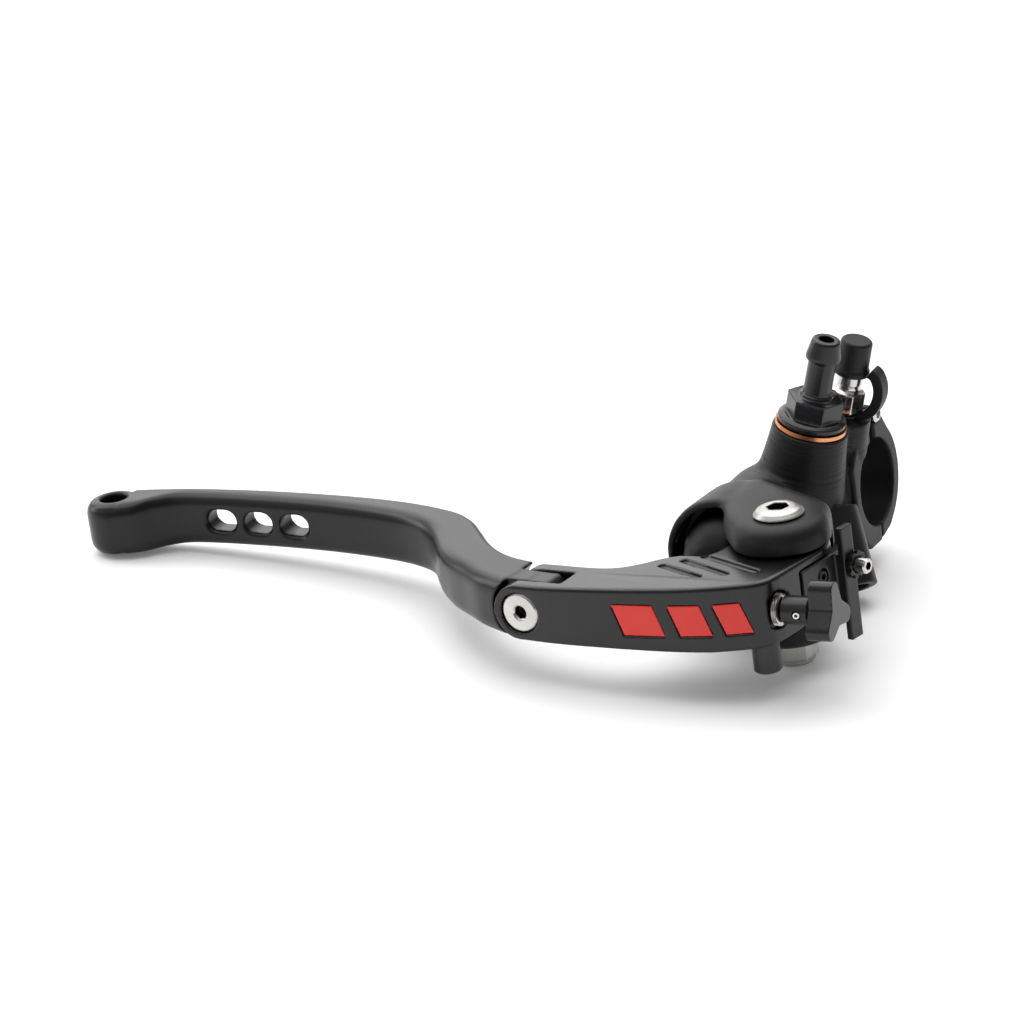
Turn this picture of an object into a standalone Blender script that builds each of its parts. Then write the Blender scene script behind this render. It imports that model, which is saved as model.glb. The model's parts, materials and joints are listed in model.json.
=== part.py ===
"""Radial brake master cylinder with a folding, adjustable lever.

Frame: origin at the centre of the handlebar bore, +X inboard along the bar, +Y towards the
rider, +Z up along the lever's pivot. Lengths are in millimetres; new_object() makes metres.
"""
import math

import bmesh
import bpy
import numpy as np
from mathutils import Matrix, Vector

MM = 0.001
GAP = 0.3                 # clearance between pieces that touch
SIDES = 28                # facets round a large cylinder

# Driving dimensions
BAR_R = 11.1              # bore for a 22.2 mm bar
CLAMP_R = 15.2
CLAMP_HALF_W = 9.7
CLAMP_BOLT = (-4.2, 15.7)  # X and +-Z of the clamp bolts
PIVOT = (10.0, -62.0)     # lever pivot, in plan
LEVER_RATIO_ARM = 19.0    # pivot to cylinder axis
CYL_X = PIVOT[0] - LEVER_RATIO_ARM
HOOD_R = 15.5
HOOD_BORE_R = 13.6
BARREL_R = 13.0
BORE_R = 9.5
HOOD_FRONT, HOOD_FLOOR, HOOD_REAR, BORE_END = -55.0, -45.0, -38.0, -17.0
EAR_TOP, EAR_UNDER, EAR_R = 15.5, 8.9, 12.0
LEVER_HALF_H = 8.3        # knuckle half height at the pivot
BLADE_HALF_H = 7.1
HINGE = (PIVOT[0] - 55.4, PIVOT[1] - 23.5)
HINGE_TILT = math.radians(8)
CHEEK_HALF_T = 7.4
TONGUE_HALF_T = 3.2
ADJUSTER_Y = PIVOT[1] - 20.6
BARREL = (PIVOT[0] + 2.0, ADJUSTER_Y)
BARREL_PIN_R = 3.4
PORT_LEAN = math.radians(16.9)       # inlet and bleed screw lean inboard
INLET_FOOT = (PIVOT[0] - 14.5, PIVOT[1] + 42.1)
BLEED_FOOT = (PIVOT[0] - 10.7, PIVOT[1] + 55.2)
INLET_SEAT = 22.8         # along the lean, from the cylinder axis to the washer's seat
BLEED_SEAT = 21.3
SPLIT_TOP, SPLIT_FOOT = 1.3, 0.15          # half gaps between the clamp halves
EAR_Z = 19.3
BOLT_SEAT = 4.0
OUTLET_FACE = (PIVOT[0] + 1.4, PIVOT[1] + 34.9, -18.0)
OUTLET_AXIS = (0.35, -0.4, -0.85)

BLACK = (0.022, 0.022, 0.024)
STEEL = (0.62, 0.61, 0.59)
COPPER = (0.75, 0.33, 0.15)
RUBBER = (0.018, 0.018, 0.02)
RED = (0.75, 0.035, 0.02)
NYLON = (0.55, 0.53, 0.48)
MATERIALS = {
    "black": (BLACK, 0.45, 0.6), "steel": (STEEL, 0.28, 1.0), "copper": (COPPER, 0.3, 1.0),
    "rubber": (RUBBER, 0.7, 0.0), "red": (RED, 0.4, 0.0), "nylon": (NYLON, 0.5, 0.0),
}


# ---------------------------------------------------------------- helpers
def clear_scene():
    for obj in list(bpy.data.objects):
        bpy.data.objects.remove(obj)


def material(name, kind):
    colour, roughness, metallic = MATERIALS[kind]
    mat = bpy.data.materials.new(name)
    mat.use_nodes = True
    shader = mat.node_tree.nodes["Principled BSDF"]
    shader.inputs["Base Color"].default_value = (*colour, 1)
    shader.inputs["Roughness"].default_value = roughness
    shader.inputs["Metallic"].default_value = metallic
    return mat


def frame_at(origin, axis=(0, 0, 1), turn=0.0):
    """A placing whose local +Z runs along axis through origin."""
    rotation = Vector((0, 0, 1)).rotation_difference(Vector(axis).normalized()).to_matrix().to_4x4()
    return Matrix.Translation(Vector(origin)) @ rotation @ Matrix.Rotation(turn, 4, "Z")


def new_object(name, bm, placing=None, kind=None, parent=None):
    """Turn a bmesh in millimetres into a named object in metres, placed by its matrix."""
    bmesh.ops.recalc_face_normals(bm, faces=bm.faces)
    bmesh.ops.scale(bm, vec=(MM, MM, MM), verts=bm.verts)
    mesh = bpy.data.meshes.new(name)
    bm.to_mesh(mesh)
    bm.free()
    mesh.shade_smooth()
    mesh.set_sharp_from_angle(angle=math.radians(35))
    obj = bpy.data.objects.new(name, mesh)
    bpy.context.collection.objects.link(obj)
    placing = (placing or Matrix.Identity(4)).copy()
    placing.translation *= MM
    if parent is not None:
        obj.parent = parent
        placing = parent.matrix_world.inverted() @ placing
    obj.matrix_basis = placing
    if kind:
        mesh.materials.append(material(name, kind))
    return obj


def joint_empty(name, at, axis=(0, 0, 1), parent=None):
    empty = bpy.data.objects.new(name, None)
    bpy.context.collection.objects.link(empty)
    placing = frame_at(Vector(at) * MM, axis)
    if parent is not None:
        empty.parent = parent
        placing = parent.matrix_world.inverted() @ placing
    empty.matrix_basis = placing
    bpy.context.view_layer.update()
    return empty


def boolean(target, tool, operation="DIFFERENCE"):
    tool.hide_render = True
    tool.display_type = "WIRE"
    modifier = target.modifiers.new(operation.title(), "BOOLEAN")
    modifier.operation = operation
    modifier.solver = "EXACT"
    modifier.object = tool
    return target


def turned_bm(profile, sides=SIDES):
    """Solid of revolution about +Z; profile is (radius, z) from one end to the other."""
    bm = bmesh.new()
    rings = []
    for radius, z in profile:
        if radius <= 1e-6:
            rings.append([bm.verts.new((0, 0, z))])
        else:
            angles = [2 * math.pi * i / sides for i in range(sides)]
            rings.append([bm.verts.new((radius * math.cos(a), radius * math.sin(a), z)) for a in angles])
    for low, high in zip(rings, rings[1:]):
        for i in range(sides):
            j = (i + 1) % sides
            if len(low) == 1:
                bm.faces.new((low[0], high[i], high[j]))
            elif len(high) == 1:
                bm.faces.new((low[i], low[j], high[0]))
            else:
                bm.faces.new((low[i], low[j], high[j], high[i]))
    for ring in (rings[0], rings[-1]):
        if len(ring) > 1:
            bm.faces.new(ring)
    return bm


def ring_bm(profile, sides=SIDES):
    """Closed ring about +Z; profile is a closed loop of (radius, z)."""
    bm = bmesh.new()
    rings = []
    for i in range(sides):
        a = 2 * math.pi * i / sides
        rings.append([bm.verts.new((r * math.cos(a), r * math.sin(a), z)) for r, z in profile])
    for i in range(sides):
        here, after = rings[i], rings[(i + 1) % sides]
        for k in range(len(profile)):
            m = (k + 1) % len(profile)
            bm.faces.new((here[k], here[m], after[m], after[k]))
    return bm


def extruded_bm(outline, low, high):
    """Prism: a closed outline of (x, y) points from z = low to z = high."""
    bm = bmesh.new()
    bottom = bm.faces.new([bm.verts.new((x, y, low)) for x, y in outline])
    made = bmesh.ops.extrude_face_region(bm, geom=[bottom])
    top = [g for g in made["geom"] if isinstance(g, bmesh.types.BMVert)]
    bmesh.ops.translate(bm, verts=top, vec=(0, 0, high - low))
    return bm


def loft_bm(rings):
    """Solid through rings of equal point count."""
    bm = bmesh.new()
    made = [[bm.verts.new(p) for p in ring] for ring in rings]
    count = len(rings[0])
    for low, high in zip(made, made[1:]):
        for i in range(count):
            j = (i + 1) % count
            bm.faces.new((low[i], low[j], high[j], high[i]))
    bm.faces.new(made[0])
    bm.faces.new(made[-1])
    return bm


def bevel_rims(bm, radius, segments=2, pick=None):
    """Round the rim edges of a prism's two flat ends."""
    flat = [f for f in bm.faces if len(f.verts) > 4]
    edges = {e for f in flat for e in f.edges if pick is None or pick(e)}
    bmesh.ops.bevel(bm, geom=list(edges), offset=radius, segments=segments, profile=0.5,
                    affect="EDGES", clamp_overlap=True)
    return bm


def arc(cx, cy, radius, start, end, steps):
    angles = np.radians(np.linspace(start, end, steps + 1))
    return [(cx + radius * math.cos(a), cy + radius * math.sin(a)) for a in angles]


def spline(points, steps):
    """Catmull-Rom curve through points, with steps spans between neighbours."""
    p = [np.array(q, float) for q in points]
    p = [2 * p[0] - p[1]] + p + [2 * p[-1] - p[-2]]
    out = []
    for a, b, c, d in zip(p, p[1:], p[2:], p[3:]):
        for k in range(steps):
            t = k / steps
            out.append(0.5 * (2 * b + (c - a) * t + (2 * a - 5 * b + 4 * c - d) * t ** 2
                              + (3 * b - a - 3 * c + d) * t ** 3))
    return out + [p[-2]]


def hexagon_bm(across_flats, low, high):
    return extruded_bm(arc(0, 0, across_flats / math.sqrt(3), 0, 300, 5), low, high)


def near_pivot(points):
    return [(PIVOT[0] + x, PIVOT[1] + y) for x, y in points]


def bench(kind, radius, half_length, placing, sides=SIDES):
    """A plain cylinder, used as a cutter or to be joined."""
    return new_object(kind, turned_bm([(radius, -half_length), (radius, half_length)], sides), placing)


# ---------------------------------------------------------------- master cylinder
def along_cylinder(profile, name, sides=SIDES):
    """Turned about the cylinder axis; profile is (radius, y)."""
    return new_object(name, turned_bm(profile, sides), frame_at((CYL_X, 0, 0), (0, 1, 0)))


def ear_plate(name, low, high):
    nose = arc(0, 0, EAR_R, -150, 30, 14)
    back = [(8.2, 12.6), (-4.0, 20.0), (-13.0, 25.3), (-18.7, 25.3), (-18.3, 6.3), (-14.5, -0.5)]
    bm = extruded_bm(near_pivot(nose + back), low, high)
    outer = max(low, high, key=abs)
    bevel_rims(bm, 3.6, 3, lambda e: all(abs(v.co.z - outer) < 1e-4 for v in e.verts))
    return new_object(name, bm)


def leaning_axis():
    return (math.sin(PORT_LEAN), 0, math.cos(PORT_LEAN))


ACROSS = Matrix(((0, 0, 1, 0), (1, 0, 0, 0), (0, 1, 0, 0), (0, 0, 0, 1)))


def across(name, outline, bevel, kind=None, parent=None):
    """Prism along X over the clamp's width from a closed outline of (y, z), with eased rims."""
    bm = bevel_rims(extruded_bm(outline, -CLAMP_HALF_W, CLAMP_HALF_W), bevel, 1)
    return new_object(name, bm, ACROSS, kind, parent)


def clamp_half():
    """Half ring with an ear above and below; the lower joint closes, the upper one stays open."""
    top = [(-SPLIT_TOP, EAR_Z), (-6.8, EAR_Z), (-8.6, EAR_Z - 1.9), (-10.8, 13.2), (-14.3, 8.5)]
    foot = [(-14.3, -8.5), (-11.6, -12.0), (-7.5, -15.4),
            (-SPLIT_FOOT, -15.6), (-SPLIT_FOOT, 0), (-SPLIT_TOP, 0)]
    half = across("clamp_half", top + foot, 0.8)
    ear = [(-10.5, -11.5), (-SPLIT_FOOT, -11.5), (-SPLIT_FOOT, -EAR_Z), (-6.6, -EAR_Z), (-8.6, -EAR_Z + 2.0)]
    return boolean(half, new_object("lower_ear", extruded_bm(ear, -CLAMP_HALF_W + 0.3, 3.4), ACROSS), "UNION")


def bridge():
    """Barrel end flowing into the clamp half."""
    rings = []
    count = 20
    for y, cx, half_w, half_h, square in (
            (-27, CYL_X, 12.4, 12.4, 0.0), (-21, CYL_X + 2, 12.4, 12.4, 0.15),
            (-16, CYL_X + 6, 11.0, 12.0, 0.5),
            (-11, -0.4, 8.9, 10.6, 0.9)):
        ring = []
        for i in range(count):
            a = 2 * math.pi * (i + 0.5) / count
            c, s = math.cos(a), math.sin(a)
            grow = (1 - square) + square * min(1 / max(abs(c), abs(s)), 1.25)
            ring.append((cx + half_w * c * grow, y, half_h * s * grow))
        rings.append(ring)
    bm = loft_bm(rings)
    bmesh.ops.triangulate(bm, faces=bm.faces)
    return new_object("bridge", bm)


def box_bm(low, high):
    bm = bmesh.new()
    bmesh.ops.create_cube(bm, size=1)
    for v in bm.verts:
        v.co = [lo + (c + 0.5) * (hi - lo) for c, lo, hi in zip(v.co, low, high)]
    return bm


def cylinder_body(root):
    body = new_object("cylinder_body", turned_bm(
        [(HOOD_R - 0.7, HOOD_FRONT), (HOOD_R, HOOD_FRONT + 0.7), (HOOD_R - 1.1, HOOD_REAR),
         (BARREL_R, HOOD_REAR + 2.5), (BARREL_R, -22.0), (BARREL_R - 2.5, -15.5)], SIDES + 8),
        frame_at((CYL_X, 0, 0), (0, 1, 0)), "black", root)
    lean = leaning_axis()
    inlet = frame_at((*INLET_FOOT, 0), lean)
    bleed = frame_at((*BLEED_FOOT, 0), lean)
    outlet = frame_at(OUTLET_FACE, OUTLET_AXIS)
    for tool in (
            ear_plate("ear_upper", EAR_UNDER, EAR_TOP), ear_plate("ear_lower", -EAR_UNDER, -EAR_TOP),
            bridge(), clamp_half(),
            new_object("inlet_boss", turned_bm([(11.6, 4.0), (9.9, 16.0), (8.9, INLET_SEAT)]), inlet),
            new_object("bleed_boss", turned_bm([(8.6, 5.0), (7.2, 14.0), (6.6, BLEED_SEAT)]), bleed),
            new_object("outlet_boss", turned_bm([(6.9, -20.0), (6.5, 0.0)]), outlet)):
        boolean(body, tool, "UNION")
    lever_slot = extruded_bm(near_pivot(arc(0, 0, EAR_R + 0.6, 0, 180, 16)
                                        + [(-21.0, 0.0), (-40.0, 0.0), (-40.0, -30.0), (30.0, -30.0),
                                           (30.0, 0.0)]), -EAR_UNDER, EAR_UNDER)
    x, z = CLAMP_BOLT
    for tool in (
            new_object("lever_slot", lever_slot),
            along_cylinder([(HOOD_BORE_R, HOOD_FRONT - 5), (HOOD_BORE_R, HOOD_FLOOR)], "hood_bore", 40),
            along_cylinder([(BORE_R, HOOD_FLOOR - 3), (BORE_R, BORE_END), (0, BORE_END + 3)], "main_bore"),
            new_object("bleed_spot_face", turned_bm([(6.9, BLEED_SEAT), (6.9, BLEED_SEAT + 12)], 28), bleed),
            bench("pivot_hole", 3.3, 30, frame_at((*PIVOT, 0)), 20),
            bench("bar_bore", BAR_R, 30, frame_at((0, 0, 0), (1, 0, 0)), 40),
            bench("upper_thread", 2.6, 10, frame_at((x, 2.0, z), (0, 1, 0)), 16),
            bench("lower_thread", 2.6, 20, frame_at((x, 0, -z), (0, 1, 0)), 16),
            new_object("inlet_hole", turned_bm([(5.2, INLET_SEAT - 12), (5.2, INLET_SEAT + 5)], 20), inlet),
            new_object("bleed_hole",
                       turned_bm([(1.0, 3.0), (1.0, 7.5), (3.0, 8.5), (3.0, BLEED_SEAT + 5)], 20), bleed),
            new_object("outlet_hole", turned_bm([(4.3, -16.0), (4.3, 5.0)], 20), outlet),
            bench("drain_hole", 1.3, 6,
                  frame_at((CYL_X - 13.4, HOOD_FRONT + 3.2, 4.0), (0.95, 0, -0.3)), 12)):
        boolean(body, tool)
    return body


def clamp_cap(root):
    """Rear half of the bar clamp: half ring with an ear above and below."""
    outline = [(SPLIT_TOP, EAR_Z), (3.4, EAR_Z), (6.7, EAR_Z - 3.0),
               (9.4, 12.6)] + arc(0, 0, CLAMP_R, 45, -55, 14)
    outline += [(6.2, -14.2), (SPLIT_FOOT, -15.4), (SPLIT_FOOT, 0), (SPLIT_TOP, 0)]
    cap = across("clamp_cap", outline, 0.8, "black", root)
    foot = [(SPLIT_FOOT, -11.5), (10.2, -10.8), (9.2, -13.6),
            (7.2, -EAR_Z + 2.2), (5.0, -EAR_Z), (SPLIT_FOOT, -EAR_Z)]
    boolean(cap, new_object("cap_ear", extruded_bm(foot, -CLAMP_HALF_W + 0.3, 3.4), ACROSS), "UNION")
    boolean(cap, bench("cap_bore", BAR_R, 30, frame_at((0, 0, 0), (1, 0, 0)), 40))
    x, z = CLAMP_BOLT
    for side in (-1, 1):
        along = frame_at((x, 0, side * z), (0, 1, 0))
        boolean(cap, bench("cap_hole", 2.6, 20, along, 16))
        boolean(cap, new_object("cap_seat", turned_bm([(4.3, BOLT_SEAT), (4.3, 30.0)], 20), along))
    return cap


def socket(screw, across_flats, depth, face, placing):
    """Sink a hexagon socket into a screw head whose outer face is at z = face."""
    return boolean(screw, new_object("socket", hexagon_bm(across_flats, face - depth, face + 5), placing))


def cap_screw(name, placing, shank_r, length, head_r, head_h, parent, kind="steel", key=4.0):
    profile = [(shank_r, -length), (shank_r, 0), (head_r, 0), (head_r, head_h - 0.5), (head_r - 0.5, head_h)]
    screw = new_object(name, turned_bm(profile, 24), placing, kind, parent)
    return socket(screw, key, head_h * 0.6, head_h, placing)


def clamp_bolts(root):
    x, z = CLAMP_BOLT
    for name, side in (("clamp_bolt_upper", 1), ("clamp_bolt_lower", -1)):
        cap_screw(name, frame_at((x, BOLT_SEAT + GAP, side * z), (0, 1, 0)), 2.3, 11.5, 4.0, 4.0, root)


def inlet(root):
    placing = frame_at((*INLET_FOOT, INLET_SEAT * 0), leaning_axis())
    seat = INLET_SEAT + GAP
    new_object("inlet_washer", ring_bm([(5.3, seat), (8.9, seat), (8.9, seat + 1.0), (5.3, seat + 1.0)], 40),
               placing, "copper", root)
    low = seat + 1.0 + GAP
    hexagon = low + 1.9
    neck = hexagon + 5.0
    fitting = new_object("inlet_fitting", turned_bm(
        [(4.9, low - 9.0), (4.9, low), (8.5, low), (8.5, low + 1.2), (7.4, hexagon), (5.6, hexagon),
         (5.6, neck), (4.2, neck + 0.1), (4.0, neck + 0.7), (3.5, neck + 1.0), (3.5, neck + 10.0),
         (4.4, neck + 10.1), (4.4, neck + 11.0), (3.6, neck + 15.0),
         (3.2, neck + 15.4)], 24), placing, "black", root)
    boolean(fitting, new_object("hexagon", hexagon_bm(12.3, hexagon - 0.5, neck - 0.1), placing), "UNION")
    boolean(fitting, bench("inlet_bore", 1.9, 60, placing, 20))


def bleeder(root, screw_axis, cap_axis):
    placing = frame_at((*BLEED_FOOT, 0), leaning_axis())
    seat = BLEED_SEAT
    screw = new_object("bleed_screw", turned_bm(
        [(0.0, 9.0), (2.0, 11.0), (2.7, 11.4), (2.7, seat + 1.7), (4.1, seat + 1.7), (4.1, seat + 6.8),
         (3.3, seat + 7.4), (3.0, seat + 7.8), (3.0, seat + 8.5), (3.3, seat + 9.1), (3.3, seat + 11.4),
         (2.1, seat + 16.6)], 20), placing, "steel", screw_axis)
    boolean(screw, new_object("flats", hexagon_bm(8.0, seat + 1.8, seat + 6.9), placing), "UNION")
    boolean(screw, new_object("bleed_bore", turned_bm([(0.9, 13.0), (0.9, 60.0)], 10), placing))
    low = seat + 10.9
    cup = new_object("bleed_cap", turned_bm(
        [(4.4, low), (4.4, low + 1.2), (4.1, low + 1.6), (4.0, low + 8.5), (3.5, low + 9.0)], 24),
        placing, "rubber", cap_axis)
    boolean(cup, new_object("cup_hollow", turned_bm([(3.65, low - 3), (3.65, low + 7.2)], 20), placing))
    strap = new_object("bleed_strap", ring_bm(
        [(2.7 + GAP, seat + 0.3), (4.2, seat + 0.3), (4.2, seat + 1.3), (2.7 + GAP, seat + 1.3)], 24),
        placing, "rubber", root)
    loop = [(3.8, 0.8), (6.0, 1.7), (8.0, 4.2), (8.9, 8.0), (8.3, 11.4), (6.6, 13.4), (5.1, 13.9)]
    rings = []
    path = spline(loop, 2)
    for i, point in enumerate(path):
        ahead = path[min(i + 1, len(path) - 1)] - path[max(i - 1, 0)]
        nx, nz = ahead[1] / np.hypot(*ahead), -ahead[0] / np.hypot(*ahead)
        thick = min(0.4 + 0.13 * i, 0.8)
        rings.append([(point[0] + nx * t, w, point[1] + nz * t + seat) for t, w in
                      ((thick, -1.9), (thick, 1.9), (-thick, 1.9), (-thick, -1.9))])
    boolean(strap, new_object("strap_loop", loft_bm(rings), placing), "UNION")


def pivot(root):
    top = frame_at((*PIVOT, EAR_TOP + GAP))
    bolt = new_object("pivot_bolt", turned_bm(
        [(3.0, -37.5), (3.0, 0), (6.2, 0), (6.2, 0.5), (4.9, 2.1),
         (3.4, 2.9), (2.4, 3.0)], 28), top, "steel", root)
    socket(bolt, 4.8, 2.7, 3.0, top)
    below = frame_at((*PIVOT, -EAR_TOP - GAP), (0, 0, -1))
    nut = new_object("pivot_nut", hexagon_bm(10.0, 0, 4.6), below, "steel", root)
    boolean(nut, new_object("nut_collar",
            turned_bm([(4.9, 4.0), (4.9, 5.6), (4.3, 6.2)], 24), below), "UNION")
    boolean(nut, bench("nut_hole", 3.0 + GAP, 20, below, 20))
    boolean(nut, new_object("insert_seat", turned_bm([(4.1, 4.6), (4.1, 8.0)], 20), below))
    new_object("pivot_nut_insert", ring_bm([(3.3, 4.9), (3.8, 4.9), (3.8, 6.0), (3.3, 6.0)], 20),
               below, "nylon", root)


def piston_group(root, piston_axis):
    """Internals on the cylinder axis; positions are along Y."""
    def part(name, profile, kind, parent, sides=24):
        return new_object(name, turned_bm(profile, sides), frame_at((CYL_X, 0, 0), (0, 1, 0)), kind, parent)

    def ring(name, loop, kind, parent, sides=28):
        return new_object(name, ring_bm(loop, sides), frame_at((CYL_X, 0, 0), (0, 1, 0)), kind, parent)

    face = HOOD_FLOOR
    part("piston", [(6.0, face - 1.0), (9.1, face + 2.6), (9.1, face + 4.6), (7.2, face + 4.8),
                    (7.2, face + 7.2), (9.1, face + 7.4), (9.1, face + 10.0), (6.4, face + 10.2),
                    (6.4, face + 13.4), (8.6, face + 13.6), (8.6, face + 14.4), (3.4, face + 14.6),
                    (3.4, face + 17.0)], "steel", piston_axis)
    boolean(bpy.data.objects["piston"], new_object("rod_seat", turned_bm(
        [(3.6, face - 6), (3.6, face + 2.2), (0, face + 4.4)], 20), frame_at((CYL_X, 0, 0), (0, 1, 0))))
    for name, low, high, inner in (("secondary_seal", 4.8, 7.2, 7.2), ("primary_seal", 10.2, 13.4, 6.4)):
        lo, hi = face + low + GAP, face + high - GAP
        ring(name, [(inner + GAP, lo), (9.1, lo), (9.1, hi), (inner + GAP, hi)], "rubber", piston_axis)
    part("pushrod", [(0, -70.7), (1.5, -70.3), (2.5, -69.3),
        (2.9, -67.9), (2.4, -66.3), (2.0, -65.8), (2.0, -49.5),
                     (3.1, -47.6), (3.1, -44.0), (0, -41.4)], "steel", piston_axis, 20)
    clip_y = face - 2.6
    clip = ring("piston_clip", [(10.0, clip_y), (13.3, clip_y), (13.3, clip_y + 1.0), (10.0, clip_y + 1.0)],
                "steel", root)
    boolean(clip, new_object("clip_gap", box_bm((CYL_X - 3, clip_y - 2, -20), (CYL_X + 3, clip_y + 3, -5))))
    boot = [(11.9, face - 3.2), (11.0, -51.5), (9.0, -55.0), (6.8, -58.5), (5.2, -61.0), (3.6, -63.5)]
    inner = [(r - 1.0, y + 0.3) for r, y in reversed(boot[1:])] + [(10.9, face - 3.2)]
    ring("dust_boot", boot + inner, "rubber", root, 28)
    piston_spring(root)


def piston_spring(root):
    coil_r, wire_r, turns, per_turn, around = 6.6, 0.7, 4.0, 10, 5
    low, high = HOOD_FLOOR + 15.6, BORE_END - 1.2
    rings = []
    for i in range(int(turns * per_turn) + 1):
        a = 2 * math.pi * i / per_turn
        y = low + (high - low) * i / (turns * per_turn)
        rings.append([((coil_r + wire_r * math.cos(b)) * math.cos(a),
                      (coil_r + wire_r * math.cos(b)) * math.sin(a),
                       y + wire_r * math.sin(b)) for b in (2 * math.pi * k / around for k in range(around))])
    new_object("piston_spring", loft_bm(rings), frame_at((CYL_X, 0, 0), (0, 1, 0)), "steel", root)


# ---------------------------------------------------------------- lever
END_N = (math.cos(math.radians(-14.8)), math.sin(math.radians(-14.8)))   # normal of the knuckle's end
END_D = (-END_N[1], END_N[0])                                            # along the end, rearwards
END_OUT = 11.35                                                          # pivot to the end's plane


def end_point(s, n, z=0.0):
    """Point s along the knuckle's end and n out from the pivot."""
    return (PIVOT[0] + END_N[0] * n + END_D[0] * s, PIVOT[1] + END_N[1] * n + END_D[1] * s, z)


def hinge_point(v, u):
    """Plan point v inboard and u rearward of the fold hinge."""
    c, s = math.cos(HINGE_TILT), math.sin(HINGE_TILT)
    return (HINGE[0] + v * c + u * s, HINGE[1] - v * s + u * c)


def hinge_axis():
    return (math.sin(HINGE_TILT), math.cos(HINGE_TILT), 0)


def knuckle_outline():
    front = spline(near_pivot([(-56.4, -30.8), (-48, -31.7), (-37, -31.9), (-26, -31.7), (-16, -31.0),
                               (-8, -29.7), (-1, -27.4), (2.9, -25.7), (5.6, -23.3),
                               (7.0, -19.6)]), 2)
    hub = near_pivot(arc(0, 0, END_OUT, -14.8, 150, 12))
    rear = spline(near_pivot([(-9.8, 5.7), (-12.2, 0.5), (-14.4, -6.0), (-16.0, -9.0)]), 2)[1:]
    seat = near_pivot([(-22.5, -9.0)])
    back = spline(near_pivot([(-22.5, -9.0), (-27.0, -11.4), (-31.5, -15.2), (-36.5, -17.5), (-43.0, -17.5),
                              (-50.0, -16.5)]), 2)[1:]
    tail = [hinge_point(-7.1, CHEEK_HALF_T), hinge_point(-7.1, -CHEEK_HALF_T)]
    return [tuple(p) for p in [*tail[1:], *front, *hub, *rear, *seat, *back, tail[0]]]


def taper_heights(bm, half_at):
    for v in bm.verts:
        if abs(v.co.z) > 0.1:
            v.co.z *= half_at(v.co.x) / LEVER_HALF_H


def lever_height(x):
    """Half height of the knuckle, growing from the hinge towards the pivot."""
    t = min(max((x - HINGE[0]) / (PIVOT[0] - 8 - HINGE[0]), 0.0), 1.0)
    return BLADE_HALF_H + (LEVER_HALF_H - BLADE_HALF_H) * t


def lever_knuckle(lever_axis):
    bm = extruded_bm(knuckle_outline(), -LEVER_HALF_H, LEVER_HALF_H)
    taper_heights(bm, lever_height)
    bevel_rims(bm, 0.9, 1)
    knuckle = new_object("lever_knuckle", bm, None, "black", lever_axis)
    slot = [hinge_point(v, u) for v, u in ((-12, -3.5), (10.4, -3.5), (10.4, 3.5), (-12, 3.5))]
    hinge = frame_at((*HINGE, 0), hinge_axis())
    boolean(knuckle, new_object("blade_slot", extruded_bm(slot, -20, 20)))
    boolean(knuckle, new_object("cheek_round", ring_bm([(7.1, -9.5), (16, -9.5), (16, 9.5), (7.1, 9.5)], 36),
                                hinge))
    keep = bpy.data.objects["cheek_round"]
    boolean(keep, new_object("round_limit", extruded_bm(
        [hinge_point(v, u) for v, u in ((0, -20), (30, -20), (30, 20), (0, 20))], -30, 30)))
    boolean(knuckle, bench("hinge_hole", 3.1, 20, hinge, 20))
    boolean(knuckle, new_object("hinge_seat", turned_bm([(5.5, -20), (5.5, -CHEEK_HALF_T + 1.6)], 28), hinge))
    boolean(knuckle, new_object("hinge_nut_seat",
            turned_bm([(5.0, CHEEK_HALF_T - 1.8), (5.0, 20)], 24), hinge))
    boolean(knuckle, bench("bush_hole", 5.0, 20, frame_at((*PIVOT, 0)), 28))
    for start, end in (((-24.3, -16.1), (-12.4, -22.2)), ((-19.9, -12.7), (-6.4, -19.9)),
                       ((-15.6, -9.8), (0.2, -17.6))):
        boolean(knuckle, groove(near_pivot([start, end])))
    for name, centre, width in INLAYS:
        boolean(knuckle, new_object("inlay_pocket", inlay_bm(centre, width, 0.75, 0.3)))
    pocket = [end_point(s, n)[:2] for s, n in ((-9.0, 8.4), (12, 8.4), (12, 20), (-9.0, 20))]
    boolean(knuckle, new_object("plate_pocket", extruded_bm(pocket, -20, 6.0)))
    boolean(knuckle, bench("plate_thread", 1.2, 2.6, frame_at(end_point(-0.7, 8.6, 1.5), (*END_N, 0)), 14))
    adjuster = frame_at((0, ADJUSTER_Y, 0), (1, 0, 0))
    boolean(knuckle, new_object("counterbore", turned_bm([(4.6, BARREL[0] + 3.2), (4.6, 60)], 24), adjuster))
    boolean(knuckle, new_object("shaft_hole", turned_bm([(2.3, BARREL[0] - 9.0), (2.3, 60)], 16), adjuster))
    boolean(knuckle, bench("barrel_hole", BARREL_PIN_R + GAP, 20, frame_at((*BARREL, -14.0)), 24))
    return knuckle


def groove(ends):
    """Round-bottomed slot milled into the knuckle's top face."""
    (x0, y0), (x1, y1) = ends
    run = Vector((x1 - x0, y1 - y0, 0))
    placing = (Matrix.Translation((x0, y0, lever_height(x0) + 0.75))
            @ run.to_track_quat("X", "Z").to_matrix().to_4x4())
    half = 1.35
    outline = arc(0, 0, half, 90, 270, 6) + arc(run.length, 0, half, -90, 90, 6)
    return new_object("groove", extruded_bm(outline, -1.4, 3.0), placing)


INLAYS = (("red_inlay_1", (-25.0, -31.55), 10.4), ("red_inlay_2", (-12.2, -30.35), 7.8),
          ("red_inlay_3", (-2.3, -27.8), 6.2))


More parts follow.
